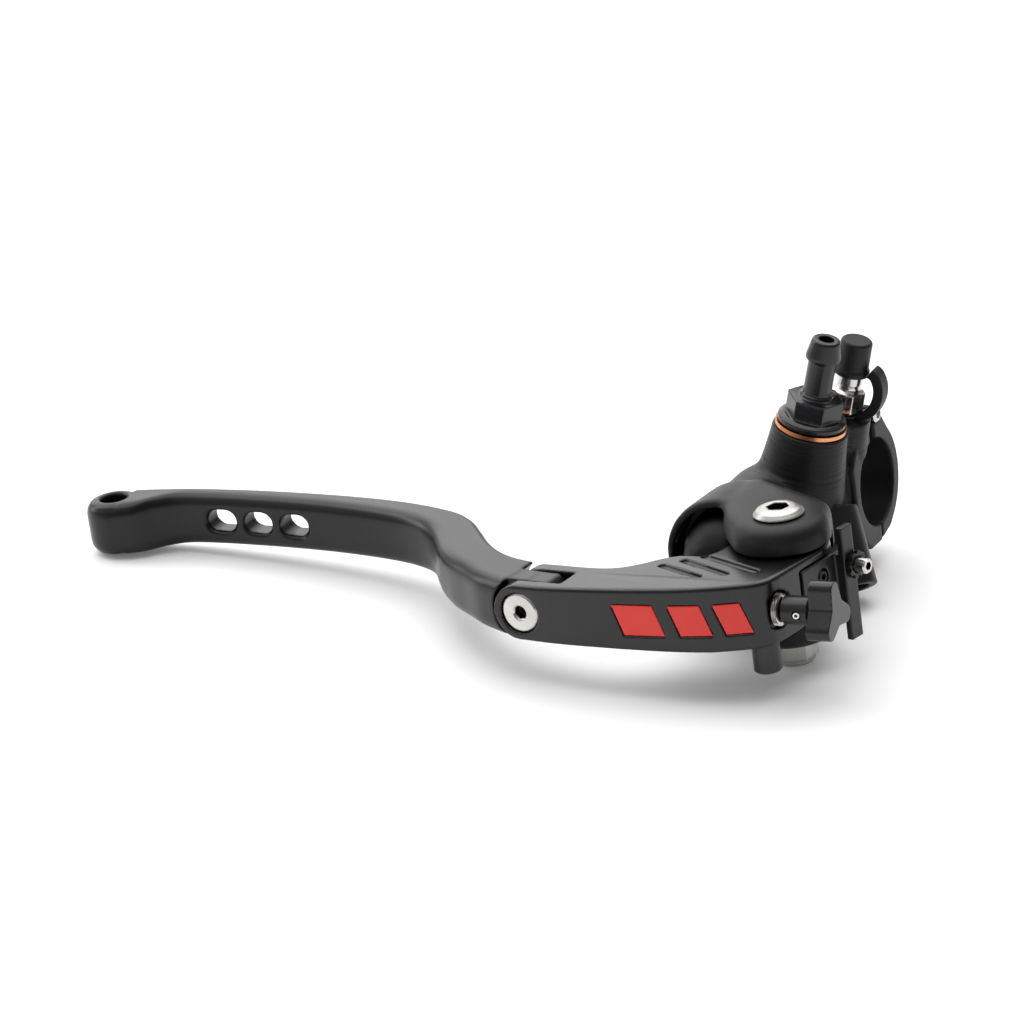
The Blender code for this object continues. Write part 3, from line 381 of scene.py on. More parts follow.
def cylinder_body():
    """The casting is blended first, then the clamp is added and the machined faces are cut."""
    axis = cylinder_axis()
    body = new_piece("cylinder_body", turned_bm(
        [(HOOD_R - 0.4, HOOD_FRONT), (HOOD_R + 0.1, HOOD_FRONT + 0.5), (HOOD_R - 1.0, HOOD_REAR),
         (BARREL_R, HOOD_REAR + 2.5), (BARREL_R, -22.0), (BARREL_R - 2.5, -15.5)]), axis)
    inlet_at = frame_at((*INLET_FOOT, 0), leaning_axis())
    bleed_at = frame_at((*BLEED_FOOT, 0), leaning_axis())
    outlet_at = frame_at(OUTLET_FACE, OUTLET_AXIS)
    for tool in (
            ear_plate("ear_upper", 3.0, EAR_TOP), ear_plate("ear_lower", -3.0, -EAR_TOP), bridge(),
            turned("inlet_boss", [(11.9, 4.0), (10.1, 16.0), (9.0, INLET_SEAT + 4)], inlet_at, SIDES),
            turned("bleed_boss", [(8.8, 5.0), (7.4, 14.0), (6.8, BLEED_SEAT + 4)], bleed_at, SIDES)):
        boolean(body, tool, "UNION")
    soften(body, 0.6, 34)
    for tool in (clamp_half(), turned("outlet_boss", [(6.9, -20.0), (6.5, 0.0)], outlet_at, SIDES)):
        boolean(body, tool, "UNION", "MANIFOLD")
    slot = near_pivot(arc(0, 0, EAR_R + 0.6, 0, 168, 16)
                      + [(-40.0, 2.6), (-40.0, -30.0), (30.0, -30.0), (30.0, 0.0)])
    cutters = [new_object("lever_slot", extruded_bm(slot, -EAR_UNDER, EAR_UNDER))]
    for name, profile, placing, sides in (
            ("hood_bore", [(HOOD_BORE_R, HOOD_FRONT - 5), (HOOD_BORE_R, HOOD_FLOOR)], axis, 80),
            ("main_bore", [(BORE_R, HOOD_FLOOR - 3), (BORE_R, BORE_END), (0, BORE_END + 3)], axis, SIDES),
            ("inlet_spot_face", [(13.0, INLET_SEAT), (13.0, INLET_SEAT + 12)], inlet_at, SIDES),
            ("bleed_spot_face", [(9.0, BLEED_SEAT), (9.0, BLEED_SEAT + 12)], bleed_at, SIDES),
            ("inlet_hole", [(5.2, INLET_SEAT - 12), (5.2, INLET_SEAT + 5)], inlet_at, HOLE_SIDES),
            ("bleed_hole", [(1.0, 3.0), (1.0, 7.5), (3.0, 8.5), (3.0, BLEED_SEAT + 5)], bleed_at, HOLE_SIDES),
            ("outlet_hole", [(4.3, -16.0), (4.3, 5.0)], outlet_at, HOLE_SIDES)):
        cutters.append(turned(name, profile, placing, sides))
    x, z = CLAMP_BOLT
    drain_at = frame_at((CYL_X - 13.4, HOOD_FRONT + 3.2, 4.0), (0.95, 0, -0.3))
    cutters += [round_bar("pivot_hole", 3.3, 30, frame_at((*PIVOT, 0))),
                round_bar("bar_bore", BAR_R, 30, frame_at((0, 0, 0), (1, 0, 0)), 80),
                round_bar("upper_thread", 2.6, 10, frame_at((x, 2.0, z), (0, 1, 0))),
                round_bar("lower_thread", 2.6, 20, frame_at((x, 0, -z), (0, 1, 0))),
                round_bar("drain_hole", 1.3, 6, drain_at)]
    for tool in cutters:
        boolean(body, tool, "DIFFERENCE", "MANIFOLD")


def clamp_cap():
    """Rear half of the bar clamp: half ring with an ear above and below."""
    outline = [(SPLIT_TOP, EAR_Z), (3.4, EAR_Z), (6.7, EAR_Z - 3.0),
               (9.4, 12.6)] + arc(0, 0, CLAMP_R, 45, -55, 14)
    outline += [(6.2, -14.2), (SPLIT_FOOT, -15.4), (SPLIT_FOOT, 0), (SPLIT_TOP, 0)]
    cap = new_piece("clamp_cap", clamp_width_bm(outline), ACROSS)
    foot = [(SPLIT_FOOT, -11.5), (10.2, -10.8), (9.2, -13.6),
            (7.2, -EAR_Z + 2.2), (5.0, -EAR_Z), (SPLIT_FOOT, -EAR_Z)]
    boolean(cap, new_object("cap_ear", extruded_bm(foot, *LOWER_EAR), ACROSS), "UNION")
    drill(cap, "cap_bore", BAR_R, 30, frame_at((0, 0, 0), (1, 0, 0)), 80)
    seat_at = frame_at((CLAMP_HALF_W, EAR_SCREW_Y, EAR_SCREW_Z), (1, 0, 0))
    drill(cap, "ear_screw_seat", 2.5, 1.4, seat_at, SIDES)
    x, z = CLAMP_BOLT
    for side in (-1, 1):
        along = frame_at((x, 0, side * z), (0, 1, 0))
        drill(cap, "cap_hole", 2.6, 20, along)
        boolean(cap, turned("cap_seat", [(4.3, BOLT_SEAT), (4.3, 30.0)], along))


def socket(screw, across_flats, depth, face, placing):
    """Sink a hexagon socket into a screw head whose outer face is at z = face."""
    return boolean(screw, new_object("socket", hexagon_bm(across_flats, face - depth, face + 5), placing),
                   "DIFFERENCE", "MANIFOLD")


def cap_screw(name, placing, shank_r, length, head_r, head_h, key):
    profile = [(shank_r, -length), (shank_r, 0), (head_r, 0), (head_r, head_h - 0.5), (head_r - 0.5, head_h)]
    screw = new_piece(name, turned_bm(profile, HOLE_SIDES), placing)
    socket(screw, key, head_h * 0.6, head_h, placing)


def clamp_bolts():
    x, z = CLAMP_BOLT
    for name, side in (("clamp_bolt_upper", 1), ("clamp_bolt_lower", -1)):
        at = frame_at((x, BOLT_SEAT + GAP, side * z), (0, 1, 0))
        cap_screw(name, at, shank_r=2.3, length=11.5, head_r=4.0, head_h=4.0, key=4.0)


def ear_screw():
    """Small socket screw let into the inboard side of the clamp's upper ear."""
    at = frame_at((CLAMP_HALF_W - 0.9, EAR_SCREW_Y, EAR_SCREW_Z), (1, 0, 0))
    cap_screw("ear_screw", at, shank_r=1.2, length=2.0, head_r=2.35, head_h=1.6, key=2.6)


def inlet():
    """Copper washer and barbed hose fitting, up the leaning inlet boss."""
    placing = frame_at((*INLET_FOOT, 0), leaning_axis())
    seat = INLET_SEAT + GAP
    low = seat + 1.0 + GAP
    hexagon = low + 1.9
    neck = hexagon + 5.0
    washer = [(5.3, seat), (8.9, seat), (8.9, seat + 1.0), (5.3, seat + 1.0)]
    new_piece("inlet_washer", ring_bm(washer, 40), placing)
    fitting = new_piece("inlet_fitting", turned_bm(
        [(4.9, low - 9.0), (4.9, low), (8.5, low), (8.5, low + 1.2), (7.4, hexagon), (5.6, hexagon),
         (5.6, neck), (4.2, neck + 0.1), (4.0, neck + 0.7), (3.5, neck + 1.0), (3.5, neck + 10.0),
         (4.4, neck + 10.1), (4.4, neck + 11.0), (3.6, neck + 15.0), (3.2, neck + 15.4)],
        HOLE_SIDES), placing)
    boolean(fitting, new_object("hexagon", hexagon_bm(12.3, hexagon - 0.5, neck - 0.1), placing), "UNION")
    drill(fitting, "inlet_bore", 1.9, 60, placing)


def bleeder():
    """Bleed screw with its rubber cap, and the strap that keeps the cap."""
    placing = frame_at((*BLEED_FOOT, 0), leaning_axis())
    seat = BLEED_SEAT
    screw = new_piece("bleed_screw", turned_bm(
        [(0.0, 9.0), (2.0, 11.0), (2.7, 11.4), (2.7, seat + 1.7), (4.1, seat + 1.7), (4.1, seat + 6.8),
         (3.3, seat + 7.4), (3.0, seat + 7.8), (3.0, seat + 8.5), (3.3, seat + 9.1), (3.3, seat + 11.4),
         (2.1, seat + 16.6)], HOLE_SIDES), placing)
    boolean(screw, new_object("flats", hexagon_bm(8.0, seat + 1.8, seat + 6.9), placing), "UNION")
    boolean(screw, turned("bleed_bore", [(0.9, 13.0), (0.9, 60.0)], placing))
    low = seat + 11.5
    cup = new_piece("bleed_cap", turned_bm(
        [(4.5, low), (4.5, low + 1.2), (4.1, low + 1.8), (3.95, low + 8.5), (3.5, low + 9.0)], HOLE_SIDES),
        placing)
    boolean(cup, turned("cup_hollow", [(3.65, low - 3), (3.65, low + 6.6)], placing))
    strap = new_piece("bleed_strap", ring_bm(
        [(2.7 + GAP, seat + 0.3), (4.2, seat + 0.3), (4.2, seat + 1.3), (2.7 + GAP, seat + 1.3)], 64),
        placing)
    boolean(strap, new_object("strap_loop", strap_bm(seat), placing), "UNION")


def strap_bm(seat):
    """Flat band that loops out from the bleed screw's foot and up to its cap."""
    path = spline([(3.6, 0.9), (5.7, 1.9), (7.6, 4.2), (8.4, 7.4), (8.0, 10.4), (6.7, 12.7), (5.2, 13.5)], 2)
    half_width = 2.1
    rings = []
    for i, point in enumerate(path):
        ahead = path[min(i + 1, len(path) - 1)] - path[max(i - 1, 0)]
        nx, nz = ahead[1] / np.hypot(*ahead), -ahead[0] / np.hypot(*ahead)
        thick = min(0.5 + 0.08 * i, 1.3)
        rings.append([(point[0] + nx * t, w, point[1] + nz * t + seat) for t, w in
                      ((thick, -half_width), (thick, half_width),
                       (-thick, half_width), (-thick, -half_width))])
    return loft_bm(rings)


def dust_boot():
    """Rubber dome over the pushrod, with a rolled lip and one fold."""
    back = HOOD_FLOOR - 3.2
    wall = 0.8
    outer = spline([(11.9, back), (11.9, -50.2), (11.2, -51.6), (11.1, -53.0), (10.4, -55.6),
                    (8.8, -58.4), (6.4, -60.9), (4.2, -62.4), (3.5, -63.6)], 2)
    inner = [(r - wall, y + wall / 2) for r, y in reversed(outer[1:])] + [(11.0, back)]
    new_piece("dust_boot", ring_bm([tuple(q) for q in outer] + inner), cylinder_axis())


def piston_spring():
    """Return spring between the piston and the end of the bore."""
    coil_r, turns, per_turn, around = 6.6, 4, 32, 12
    low, high = SPRING_ENDS
    rings = []
    for i in range(turns * per_turn + 1):
        a = 2 * math.pi * i / per_turn
        y = low + (high - low) * i / (turns * per_turn)
        rings.append([((coil_r + SPRING_WIRE_R * math.cos(b)) * math.cos(a),
                       (coil_r + SPRING_WIRE_R * math.cos(b)) * math.sin(a),
                       y + SPRING_WIRE_R * math.sin(b))
                      for b in (2 * math.pi * k / around for k in range(around))])
    new_piece("piston_spring", loft_bm(rings), cylinder_axis())


def pivot():
    """Button-head bolt from above and a lock nut below."""
    top = frame_at((*PIVOT, EAR_TOP + GAP))
    bolt = new_piece("pivot_bolt", turned_bm(
        [(3.0, -37.5), (3.0, 0), (6.2, 0), (6.2, 0.3), (5.3, 1.3), (4.1, 1.8), (3.3, 1.9)], 56), top)
    socket(bolt, 4.9, 1.9, 1.9, top)
    below = frame_at((*PIVOT, -EAR_TOP - GAP), (0, 0, -1))
    nut = new_piece("pivot_nut", hexagon_bm(10.0, 0, 4.6), below)
    boolean(nut, turned("nut_collar", [(4.9, 4.0), (4.9, 5.6), (4.3, 6.2)], below), "UNION")
    drill(nut, "nut_hole", 3.0 + GAP, 20, below)
    boolean(nut, turned("insert_seat", [(4.1, 4.6), (4.1, 8.0)], below))


def end_point(s, n, z=0.0):
    """Point s along the knuckle's end and n out from the pivot."""
    return (PIVOT[0] + END_N[0] * n + END_D[0] * s, PIVOT[1] + END_N[1] * n + END_D[1] * s, z)


def hinge_point(v, u):
    """Plan point v inboard and u rearward of the fold hinge."""
    c, s = math.cos(HINGE_TILT), math.sin(HINGE_TILT)
    return (HINGE[0] + v * c + u * s, HINGE[1] - v * s + u * c)


def hinge_axis():
    return (math.sin(HINGE_TILT), math.cos(HINGE_TILT), 0)


def knuckle_outline():
    front = spline(near_pivot([(-56.4, -30.8), (-48, -31.7), (-37, -31.9), (-26, -31.7), (-16, -31.0),
                               (-8, -29.7), (-1, -27.4), (2.9, -25.7), (5.6, -23.3),
                               (7.0, -19.6)]), 2)
    hub = near_pivot(arc(0, 0, END_OUT, -14.8, 150, 12))
    rear = spline(near_pivot([(-9.8, 5.7), (-12.2, 0.5), (-14.4, -6.0), (-16.0, -9.0)]), 2)[1:]
    seat = near_pivot([(-22.5, -9.0)])
    back = spline(near_pivot([(-22.5, -9.0), (-27.0, -11.4), (-31.5, -15.2), (-36.5, -17.5), (-43.0, -17.5),
                              (-50.0, -16.5)]), 2)[1:]
    tail = [hinge_point(-7.1, CHEEK_HALF_T), hinge_point(-7.1, -CHEEK_HALF_T)]
    return [tuple(p) for p in [*tail[1:], *front, *hub, *rear, *seat, *back, tail[0]]]


def lever_height(x):
    """Half height of the knuckle, growing from the hinge towards the pivot."""
    t = min(max((x - HINGE[0]) / (PIVOT[0] - 8 - HINGE[0]), 0.0), 1.0)
    return BLADE_HALF_H + (LEVER_HALF_H - BLADE_HALF_H) * t


def lever_knuckle():
    """Inner lever: pivot hub, cheeks for the blade's tongue, and all that is milled into it."""
    bm = extruded_bm(knuckle_outline(), -LEVER_HALF_H, LEVER_HALF_H)
    for v in bm.verts:
        if abs(v.co.z) > 0.1:
            v.co.z *= lever_height(v.co.x) / LEVER_HALF_H
    bevel_rims(bm, 0.9, 2)
    knuckle = new_piece("lever_knuckle", bm)
    hinge = frame_at((*HINGE, 0), hinge_axis())
    adjuster_at = frame_at((0, ADJUSTER_Y, 0), (1, 0, 0))
    slot = [hinge_point(v, u) for v, u in ((-12, -3.5), (10.4, -3.5), (10.4, 3.5), (-12, 3.5))]
    boolean(knuckle, new_object("blade_slot", extruded_bm(slot, -20, 20)))
    rim = ring_bm([(7.1, -9.5), (16, -9.5), (16, 9.5), (7.1, 9.5)], 36)
    cheek_round = new_object("cheek_round", rim, hinge)
    boolean(knuckle, cheek_round)
    inboard = [hinge_point(v, u) for v, u in ((0, -20), (30, -20), (30, 20), (0, 20))]
    boolean(cheek_round, new_object("round_limit", extruded_bm(inboard, -30, 30)))
    drill(knuckle, "hinge_hole", 3.1, 20, hinge)
    boolean(knuckle, turned("hinge_seat", [(5.25, -20), (5.25, -CHEEK_HALF_T + 1.6)], hinge, 56))
    boolean(knuckle, turned("hinge_nut_seat", [(5.0, CHEEK_HALF_T - 1.8), (5.0, 20)], hinge))
    drill(knuckle, "bush_hole", 5.0, 20, frame_at((*PIVOT, 0)), 56)
    for start, end in (((-24.3, -16.1), (-12.4, -22.2)), ((-19.9, -12.7), (-6.4, -19.9)),
                       ((-15.6, -9.8), (0.2, -17.6))):
        boolean(knuckle, groove(*near_pivot([start, end])))
    for name, centre, width, slope in INLAYS:
        boolean(knuckle, new_object("inlay_pocket", inlay_bm(centre, width, slope, (-3.0, 0.75), 0.1)))
    pocket = [end_point(s, n)[:2] for s, n in ((-9.0, 8.4), (12, 8.4), (12, 20), (-9.0, 20))]
    boolean(knuckle, new_object("plate_pocket", extruded_bm(pocket, -20, 6.0)))
    thread_at = frame_at(end_point(PLATE_SCREW_S, 8.6, PLATE_SCREW_Z), (*END_N, 0))
    drill(knuckle, "plate_thread", 1.2, 2.6, thread_at)
    for name, radius, start in (("counterbore", 4.6, BARREL[0] + 3.2), ("shaft_hole", 2.3, BARREL[0] - 9.0)):
        boolean(knuckle, turned(name, [(radius, start), (radius, 60)], adjuster_at))
    drill(knuckle, "barrel_hole", BARREL_PIN_R + GAP, 20, frame_at((*BARREL, -14.0)))


def groove(start, end):
    """Round-ended slot milled into the knuckle's top face."""
    (x0, y0), (x1, y1) = start, end
    run = Vector((x1 - x0, y1 - y0, 0))
    placing = (Matrix.Translation((x0, y0, lever_height(x0) + 0.75))
               @ run.to_track_quat("X", "Z").to_matrix().to_4x4())
    half = 0.95
    outline = arc(0, 0, half, 90, 270, 6) + arc(run.length, 0, half, -90, 90, 6)
    return new_object("groove", extruded_bm(outline, -1.6, 3.0), placing)


def inlay_bm(centre, width, slope, depths, margin):
    """Slanted bar on the knuckle's curved front face, from one depth to the other."""
    (cx, cy), = near_pivot([centre])
    half_w, half_h, lean = width / 2 + margin, 3.9 + margin, 1.3
    corners = ((-half_w - lean, half_h), (half_w - lean, half_h),
               (half_w + lean, -half_h), (-half_w + lean, -half_h))
    return loft_bm([[(cx + x, cy + slope * x + depth, z) for x, z in corners] for depth in depths])


def inlays():
    for name, centre, width, slope in INLAYS:
        new_piece(name, inlay_bm(centre, width, slope, (0.1, 0.45), 0))


def switch_plate():
    """Plate let into the knuckle's end, with a tall bar that works the brake light switch."""
    corners = [end_point(s, n)[:2] for s, n in ((-8.7, 8.7), (9.6, 8.7), (9.6, 11.9), (-8.7, 11.9))]
    plate = new_piece("switch_plate", extruded_bm(corners, -7.6, 5.7))
    tee = [(11.2, -7.2), (12.9, -7.0), (12.9, -16.3), (14.6, -16.3), (14.6, 12.2), (12.9, 12.2),
           (12.9, 5.2), (11.2, 5.4)]
    across_end = Matrix(((END_N[0], 0, -END_D[0], PIVOT[0]), (END_N[1], 0, -END_D[1], PIVOT[1]),
                         (0, 1, 0, 0), (0, 0, 0, 1)))
    outward = (*END_N, 0)
    stop = frame_at(end_point(STOP_S, 0, STOP_Z), outward)
    boolean(plate, new_object("plate_bar", extruded_bm(tee, -8.6, -4.3), across_end), "UNION")
    boolean(plate, turned("stop_boss", [(3.4, 10.6), (3.3, 14.1)], stop), "UNION")
    drill(plate, "stop_hole", 1.9 + GAP, 40, stop)
    screw_at = frame_at(end_point(PLATE_SCREW_S, 10.2, PLATE_SCREW_Z), outward)
    boolean(plate, turned("screw_head_hole", [(2.1, -0.3), (2.1, 9.0)], screw_at))
    drill(plate, "screw_hole", 1.2, 9.0, screw_at)
    cap_screw("plate_screw", screw_at, shank_r=0.9, length=3.6, head_r=1.8, head_h=1.7, key=1.6)
    rim = [(r * math.cos(math.radians(t)), r * math.sin(math.radians(t)))
           for i in range(8) for t, r in ((45 * i + 3, 3.4), (45 * i + 24, 3.4),
                                          (45 * i + 29, 2.8), (45 * i + 43, 2.8))]
    nut = new_piece("stop_nut", extruded_bm(rim, 14.6 + GAP, 15.9), stop)
    drill(nut, "nut_bore", 1.9 + GAP, 40, stop)
    grub = new_piece("stop_screw", turned_bm([(1.6, 12.0), (1.9, 12.4), (1.9, 18.5), (1.6, 18.9)],
                                             HOLE_SIDES), stop)
    socket(grub, 1.9, 1.8, 18.9, stop)


def hinge_screw():
    """Flat-headed screw that the blade folds about, let into the knuckle's front."""
    placing = frame_at((*HINGE, 0), (-hinge_axis()[0], -hinge_axis()[1], 0))
    face = CHEEK_HALF_T - 0.4
    screw = new_piece("hinge_screw", turned_bm(
        [(2.4, -7.2), (2.4, face - 0.9), (5.1, face - 0.9), (5.1, face - 0.4), (4.5, face + 0.1)], 56),
        placing)
    countersink = turned("countersink", [(1.2, face - 0.7), (2.2, face + 0.3)], placing, SIDES)
    boolean(screw, countersink, "DIFFERENCE", "MANIFOLD")
    socket(screw, 2.9, 2.2, face, placing)


def rounded_section(front, rear, half_h, front_r, rear_r):
    """Rounded rectangle standing on the plan line from front to rear."""
    front, rear = np.array(front), np.array(rear)
    width = np.linalg.norm(rear - front)
    along = (rear - front) / width
    front_r = min(front_r, width * 0.62)
    rear_r = min(rear_r, width * 0.34)
    corners = ((front_r, half_h - front_r, front_r, 180, 90),
               (width - rear_r, half_h - rear_r, rear_r, 90, 0),
               (width - rear_r, -half_h + rear_r, rear_r, 0, -90),
               (front_r, -half_h + front_r, front_r, -90, -180))
    points = []
    for t, z, radius, start, end in corners:
        points += [(*(front + along * x), y) for x, y in arc(t, z, radius, start, end, 2)]
    return points


def lever_blade():
    """Outer lever: a lofted blade with a round tip, three holes and a tongue for the hinge."""
    fronts = spline(near_pivot([f for f, r in BLADE_STATIONS]), 2)
    rears = spline(near_pivot([r for f, r in BLADE_STATIONS]), 2)
    rings = [rounded_section(f, r, BLADE_HALF_H, 3.4, 1.7) for f, r in zip(fronts, rears)]
    blade = new_piece("lever_blade", loft_bm(rings))
    h, r = BLADE_HALF_H, TIP_R
    bulb = [(r - 3.2, -h), (r - 1.4, -h + 0.6), (r - 0.3, -h + 2.0), (r, -h + 3.4), (r, h - 3.4),
            (r - 0.3, h - 2.0), (r - 1.4, h - 0.6), (r - 3.2, h)]
    tip = frame_at((*near_pivot([TIP])[0], 0))
    boolean(blade, turned("tip_bulb", bulb, tip, 72), "UNION")
    boolean(blade, turned("tip_hole", [(3.4, -4.0), (3.4, 6.4), (4.4, 7.6)], tip))
    hinge = frame_at((*HINGE, 0), hinge_axis())
    boolean(blade, turned("cheek_clearance", [(8.0, -14), (8.0, 16)], hinge, 72))
    trim = [hinge_point(v, u) for v, u in ((-4.6, -16), (20, -16), (20, 18), (-4.6, 18))]
    boolean(blade, new_object("shoulder_trim", extruded_bm(trim, -30, 30)))
    t = TONGUE_HALF_T
    tongue_at = hinge @ Matrix.Rotation(0.021, 4, "Z")      # off the clearance's edges
    tongue = round_bar("tongue", 7.0, t, tongue_at, 72)
    bar = [hinge_point(v, u) for v, u in ((-10.8, -t), (0, -t), (0, t), (-10.8, t))]
    boolean(tongue, new_object("tongue_bar", extruded_bm(bar, -6.95, 6.95)), "UNION")
    boolean(blade, tongue, "UNION")
    side = t - 0.04
    heel = [hinge_point(v, u) for v, u in ((0, -side), (9.2, -side), (9.2, side), (0, side))]
    heel_block = new_object("tongue_heel", extruded_bm(heel, 0.63, 6.88))
    heel_limit = ring_bm([(9.3, -5), (16, -5), (16, 5), (9.3, 5)], 36)
    boolean(heel_block, new_object("heel_limit", heel_limit, hinge))
    boolean(blade, heel_block, "UNION")
    drill(blade, "hinge_bush_hole", 4.0, 12, hinge)
    for i in range(3):
        x, y = near_pivot([(-164.9 + 10.95 * i, 21.0 - 0.4 * i)])[0]
        boolean(blade, obround("slot_hole", 4.2, 2.85, 8.0, (x, y)))
        boolean(blade, obround("slot_rim", 4.9, 3.55, 0.9, (x, y - 3.4 - 0.25 * i)))


def obround(name, half_w, half_h, half_depth, at):
    """Cutter for a round-ended slot through the blade, along Y."""
    outline = arc(half_w - half_h, 0, half_h, -90, 90, 6) + arc(half_h - half_w, 0, half_h, 90, 270, 6)
    turn = Matrix.Rotation(math.radians(90), 4, "X")
    return new_object(name, extruded_bm(outline, -half_depth, half_depth),
                      Matrix.Translation((*at, 0)) @ turn)


def knob_outline():
    """Three-lobed wing, hollow between the lobes."""
    outline = []
    for a in (185, 305, 425):
        cx, cy = 5.6 * math.cos(math.radians(a)), 5.6 * math.sin(math.radians(a))
        outline += arc(cx, cy, 2.2, a - 80, a + 80, 5)
        outline.append((3.5 * math.cos(math.radians(a + 60)), 3.5 * math.sin(math.radians(a + 60))))
    return outline


def adjuster():
    """Wing knob, sleeve with its roll pin, and a ridged ring, on the shaft that turns the barrel."""
    start = BARREL[0] + BARREL_PIN_R + GAP
    axis = frame_at((0, ADJUSTER_Y, 0), (1, 0, 0))
    knob = new_piece("adjuster_knob", extruded_bm(knob_outline(), KNOB_X, KNOB_X + 6.0), axis)
    boolean(knob, turned("knob_hole", [(2.1, KNOB_X - 3), (2.1, KNOB_X + 4.0)], axis))
    sleeve = new_piece("adjuster_sleeve", turned_bm(
        [(3.1, start + 2.3), (3.45, start + 2.7), (3.45, KNOB_X - 0.8), (3.1, KNOB_X - 0.4)],
        HOLE_SIDES), axis)
    drill(sleeve, "sleeve_bore", 2.1, 100, axis)
    pin_at = frame_at((PIVOT[0] + 11.3, ADJUSTER_Y, 0), (0.25, -0.97, 0))
    boolean(sleeve, turned("pin_hole", [(1.1, 1.0), (1.1, 8.0)], pin_at))
    new_piece("adjuster_pin", ring_bm([(0.4, 2.4), (0.8, 2.4), (0.8, 3.6), (0.4, 3.6)], 12), pin_at)
    ridges = [(r, start + 0.1 + 0.3 * i) for i, r in enumerate((3.3, 3.9, 3.3, 3.9, 3.3, 3.9, 3.3))]
    new_piece("adjuster_ring", ring_bm([(2.1, start + 0.1), *ridges, (2.1, start + 2.0)], 64), axis)


# ---------------------------------------------------------------- materials
def link(tree, a, out, b, into):
    tree.links.new(a.outputs[out], b.inputs[into])


def node(tree, kind, **values):
    made = tree.nodes.new(kind)
    for key, value in values.items():
        if hasattr(made, key):
            setattr(made, key, value)
        else:
            made.inputs[key.replace("_", " ")].default_value = value
    return made


def remap(tree, source, out, limits, targets, **more):
    """Carry a node's output from one range to another, held at the ends."""
    made = node(tree, "ShaderNodeMapRange", **more)
    for key, value in zip(("From Min", "From Max", "To Min", "To Max"), (*limits, *targets)):
        made.inputs[key].default_value = value
    link(tree, source, out, made, "Value")
    return made


def ramp(tree, source, low, high):
    """0 below low and 1 above high, smooth between; either way round."""
    return remap(tree, source, "Value", (low, high), (0, 1), interpolation_type="SMOOTHSTEP").outputs[0]


def product(tree, a, b):
    made = node(tree, "ShaderNodeMath", operation="MULTIPLY")
    tree.links.new(a, made.inputs[0])
    tree.links.new(b, made.inputs[1])
    return made.outputs[0]


def raised(tree, height, depth, last):
    """Bump of depth millimetres from an output, on top of an earlier bump."""
    made = node(tree, "ShaderNodeBump", Strength=1.0, Distance=depth * MM)
    tree.links.new(height, made.inputs["Height"])
    if last:
        link(tree, last, "Normal", made, "Normal")
    return made


def along_axis(tree, place, origin, axis):
    """Radius from an axis and height along it, as two nodes, in metres."""
    shift = node(tree, "ShaderNodeVectorMath", operation="SUBTRACT")
    shift.inputs[1].default_value = Vector(origin) * MM
    link(tree, place, "Object", shift, 0)
    made = []
    for operation in ("DOT_PRODUCT", "CROSS_PRODUCT"):
        made.append(node(tree, "ShaderNodeVectorMath", operation=operation))
        made[-1].inputs[1].default_value = Vector(axis).normalized()
        link(tree, shift, "Vector", made[-1], 0)
    height, cross = made
    radius = node(tree, "ShaderNodeVectorMath", operation="LENGTH")
    link(tree, cross, "Vector", radius, 0)
    return radius, height


def turning_marks(tree, place, last, origin, axis, pitch, depth):
    """Fine rings round an axis, on flat faces and on round ones."""
    radius, height = along_axis(tree, place, origin, axis)
    total = node(tree, "ShaderNodeMath", operation="ADD")
    link(tree, radius, "Value", total, 0)
    link(tree, height, "Value", total, 1)
    lines = node(tree, "ShaderNodeTexNoise", noise_dimensions="1D", Scale=1000.0 / pitch, Detail=2.0)
    link(tree, total, "Value", lines, "W")
    return raised(tree, lines.outputs["Fac"], depth, last)


def tool_lines(tree, place, last, origin, axis, reach, low, high, depth):
    """Lines left by a cutter that went round a boss, only on the boss itself."""
    radius, height = along_axis(tree, place, origin, axis)
    on_boss = product(tree, ramp(tree, radius, (reach + 0.6) * MM, (reach - 0.6) * MM),
                      product(tree, ramp(tree, height, (low - 1.5) * MM, (low + 1.5) * MM),
                              ramp(tree, height, (high + 0.1) * MM, (high - 0.1) * MM)))
    lines = node(tree, "ShaderNodeTexNoise", noise_dimensions="1D", Scale=1150.0, Detail=2.0)
    link(tree, height, "Value", lines, "W")
    patch = node(tree, "ShaderNodeTexNoise", Scale=160.0, Detail=3.0)
    link(tree, place, "Object", patch, "Vector")
    marks = product(tree, product(tree, lines.outputs["Fac"], on_boss), patch.outputs["Fac"])
    return raised(tree, marks, depth, last)


def painted_socket_shade(tree, place, colour, origin, axis, reach, top):
    """Painted shade: a screw's colour made darker within its socket, below top and within reach of the axis.
    """
    radius, height = along_axis(tree, place, origin, axis)
    shade_mask = product(tree, ramp(tree, radius, (reach + 0.1) * MM, reach * MM),
                     ramp(tree, height, top * MM, (top - 0.3) * MM))
    made = node(tree, "ShaderNodeMix", data_type="RGBA", blend_type="MULTIPLY")
    tree.links.new(shade_mask, made.inputs[0])
    link(tree, colour, 2, made, 6)
    # painted shade: near-black colour laid over the socket's walls and floor
    made.inputs[7].default_value = (0.06, 0.06, 0.06, 1)
    return made


